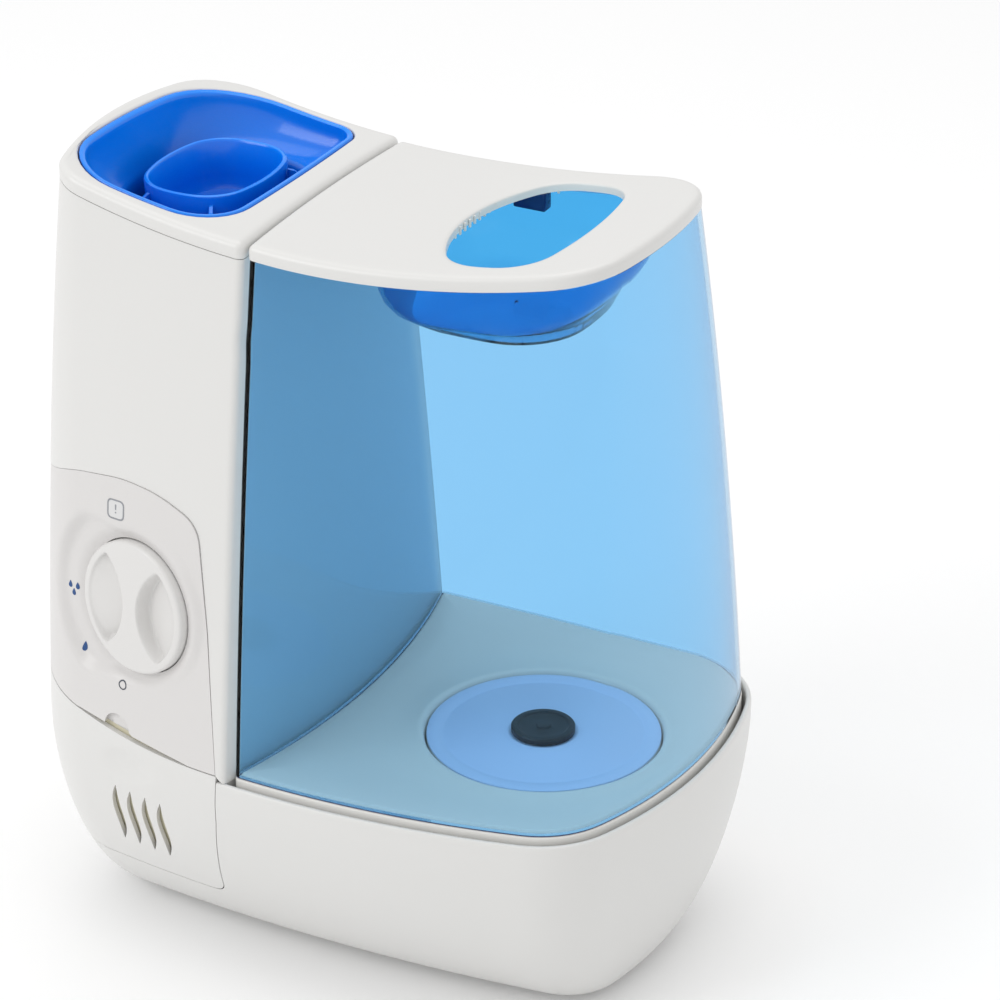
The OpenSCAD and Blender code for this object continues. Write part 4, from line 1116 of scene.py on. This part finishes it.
po, pi = bowl_profile(0.0), bowl_profile(1.8)
low = float(po[-1][:, 2].min())
for ring, z in ((po[-1], low), (pi[-1], low + 1.8)):
    ring[:, 2] = mix(ring[:, 2], z, 0.85)
fo = [flat_ring(po[-1], k) for k in (0.12, 0.4, 0.8, 0.98)]
fi = [flat_ring(pi[-1], k) for k in (0.98, 0.8, 0.4, 0.12)]
for ring, z in [(r, low - 0.3) for r in fo] + [(r, low + 1.6) for r in fi]:
    ring[:, 2] = z
pk = skin("hand_pocket", po + fo + fi + pi[::-1], sharp=50)
place(pk, "pocket", "tank", ["handle_pocket"])
tz = float(top_at(44.0))
catch = box(36.2, 50.8, 43.2, 49.8, tz - 12, tz - 3.9, 1.2, "hand_catch", 0.8)
place(catch, "navy", "tank", ["handle_catch"])
ribs = []
for i in range(9):
    y = -16 + 4.2 * i
    ribs.append(box(38.1, 39.0, y, y + 1.1, float(top_at(38.6)) - 4.5, float(top_at(38.6)) - 1.0, 0.2,
        "r", 0.15))
ribs += [box(44 + 3.4 * i, 45 + 3.4 * i, 46.6 + 0.25 * i, 47.5 + 0.25 * i, float(top_at(46)) - 4.5,
    float(top_at(46)) - 1.0, 0.2, "r", 0.15) for i in range(4)]
place(join("grip_ribs", ribs), "white", "tank")

# filler cap and valve
C = (VALVE_X, 0.0)
vc = lathe("c1", [(9.0, 100.0), (9.0, 102.4), (9.6, 103), (13.8, 103), (14.4, 103.35), (15.4, 103.35),
    (16.0, 103), (40.0, 103.0), (41, 102.5), (42.4, 102.5), (43.4, 103), (47.9, 103), (48.55, 102.7),
    (48.7, 102.1), (48.7, 83.45), (50.9, 83.35), (51, 81.6), (46.2, 81.4), (45.4, 78.4), (44.6, 76.6),
    (42.5, 76.0), (22.6, 75.6), (22.5, 53.4), (22.0, 52.5), (21.0, 52.5), (20.5, 53.2), (20.5, 100)],
    128, C)
fins = []
for a in (27, 207):
    f = prism("f", fillet([(41.2, 81.5), (41.2, 60.4), (42.6, 57), (44.8, 57), (46.4, 60), (46.4, 81.5)],
        [0, 1, 1.2, 1.2, 1, 0], 4), -1.2, 1.2, "y", bevel=0.4)
    f.data.transform(turned(C[0], 0, a))
    fins.append(f)
for a in (0, 120, 240):
    f = prism("f", [(4.5, 60), (21.0, 60), (21.0, 64.6), (4.5, 64.6)], -1, 1, "y", bevel=0.3)
    f.data.transform(turned(C[0], 0, a))
    fins.append(f)
hub = lathe("f", [(3.05, 60), (3.05, 65), (4.7, 65), (5, 64.7), (5, 60.3), (4.7, 60)], 48, C)
lid = place(join("filler_lid", [vc, hub] + fins), "tray", "filler_cap", ["valve_cap"])
lid.data.materials.append(M["cap_top"])
for f in lid.data.polygons:
    if f.center.z > 102.4 * MM:
        f.material_index = 1
place(lathe("filler_seal", [(48.8, 83.5), (48.8, 85.8), (50.2, 85.8), (50.6, 85.4), (50.6, 83.9),
    (50.2, 83.5)], 96, C), "seal", "filler_cap", ["cap_seal"])
place(lathe("valve_stem", [(0.01, 57.5), (2.4, 57.5), (3.0, 58.1), (3.0, 80.9), (4, 81.0), (12.0, 81.0),
    (12.2, 81.3), (12.2, 82.7), (12.0, 83.0), (4, 83.0), (3.0, 83.4), (3.0, 103.1), (0.01, 103.1)], 64,
    C), "tray", "valve", ["valve_plunger"])
place(lathe("valve_pad", [(0.01, 103.2), (13.0, 103.2), (13.5, 103.6), (13.5, 105.6), (12.9, 106.2),
    (11.0, 106.3), (10.2, 105.7), (6.5, 105.3), (3.4, 105.5), (2.8, 106.1), (0.01, 106.3)], 96, C),
    "black", "valve", ["valve_disc"])
coil = []
for i in range(181):
    t = i / 180
    a, z = 2 * math.pi * 5 * t, mix(83.7, 99.3, t)
    coil.append(np.array([[C[0] + (11 - 0.6 * math.cos(b)) * math.cos(a),
        (11 - 0.6 * math.cos(b)) * math.sin(a), z + 0.6 * math.sin(b)]
        for b in np.linspace(0, 2 * math.pi, 12, endpoint=False)]))
coil = place(skin("spring_coil", coil, ends=True, sharp=60), "steel", "filler_cap", ["valve_spring"])
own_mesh(coil)

# ------------------------------ plain CAD pieces that stay
KEEP = {
    "steam_duct": "inner", "heating_chamber": "inner", "heater_gasket": "seal",
    "heater_plate": "cast", "thermostat": "dark", "thermal_fuse": "inner", "inlet_tube": "lens",
    "terminal_block": "inner", "cord_inlet": "dark", "knob_shaft": "steel", "rotary_switch": "dark",
    "indicator_lamp": "amber",
}
for n, m in KEEP.items():
    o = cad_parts[n]
    o.data.materials.clear()
    o.data.materials.append(M[m])

{"cad": [list(v) for v in cad_box], "visual": [list(v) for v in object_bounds()]}
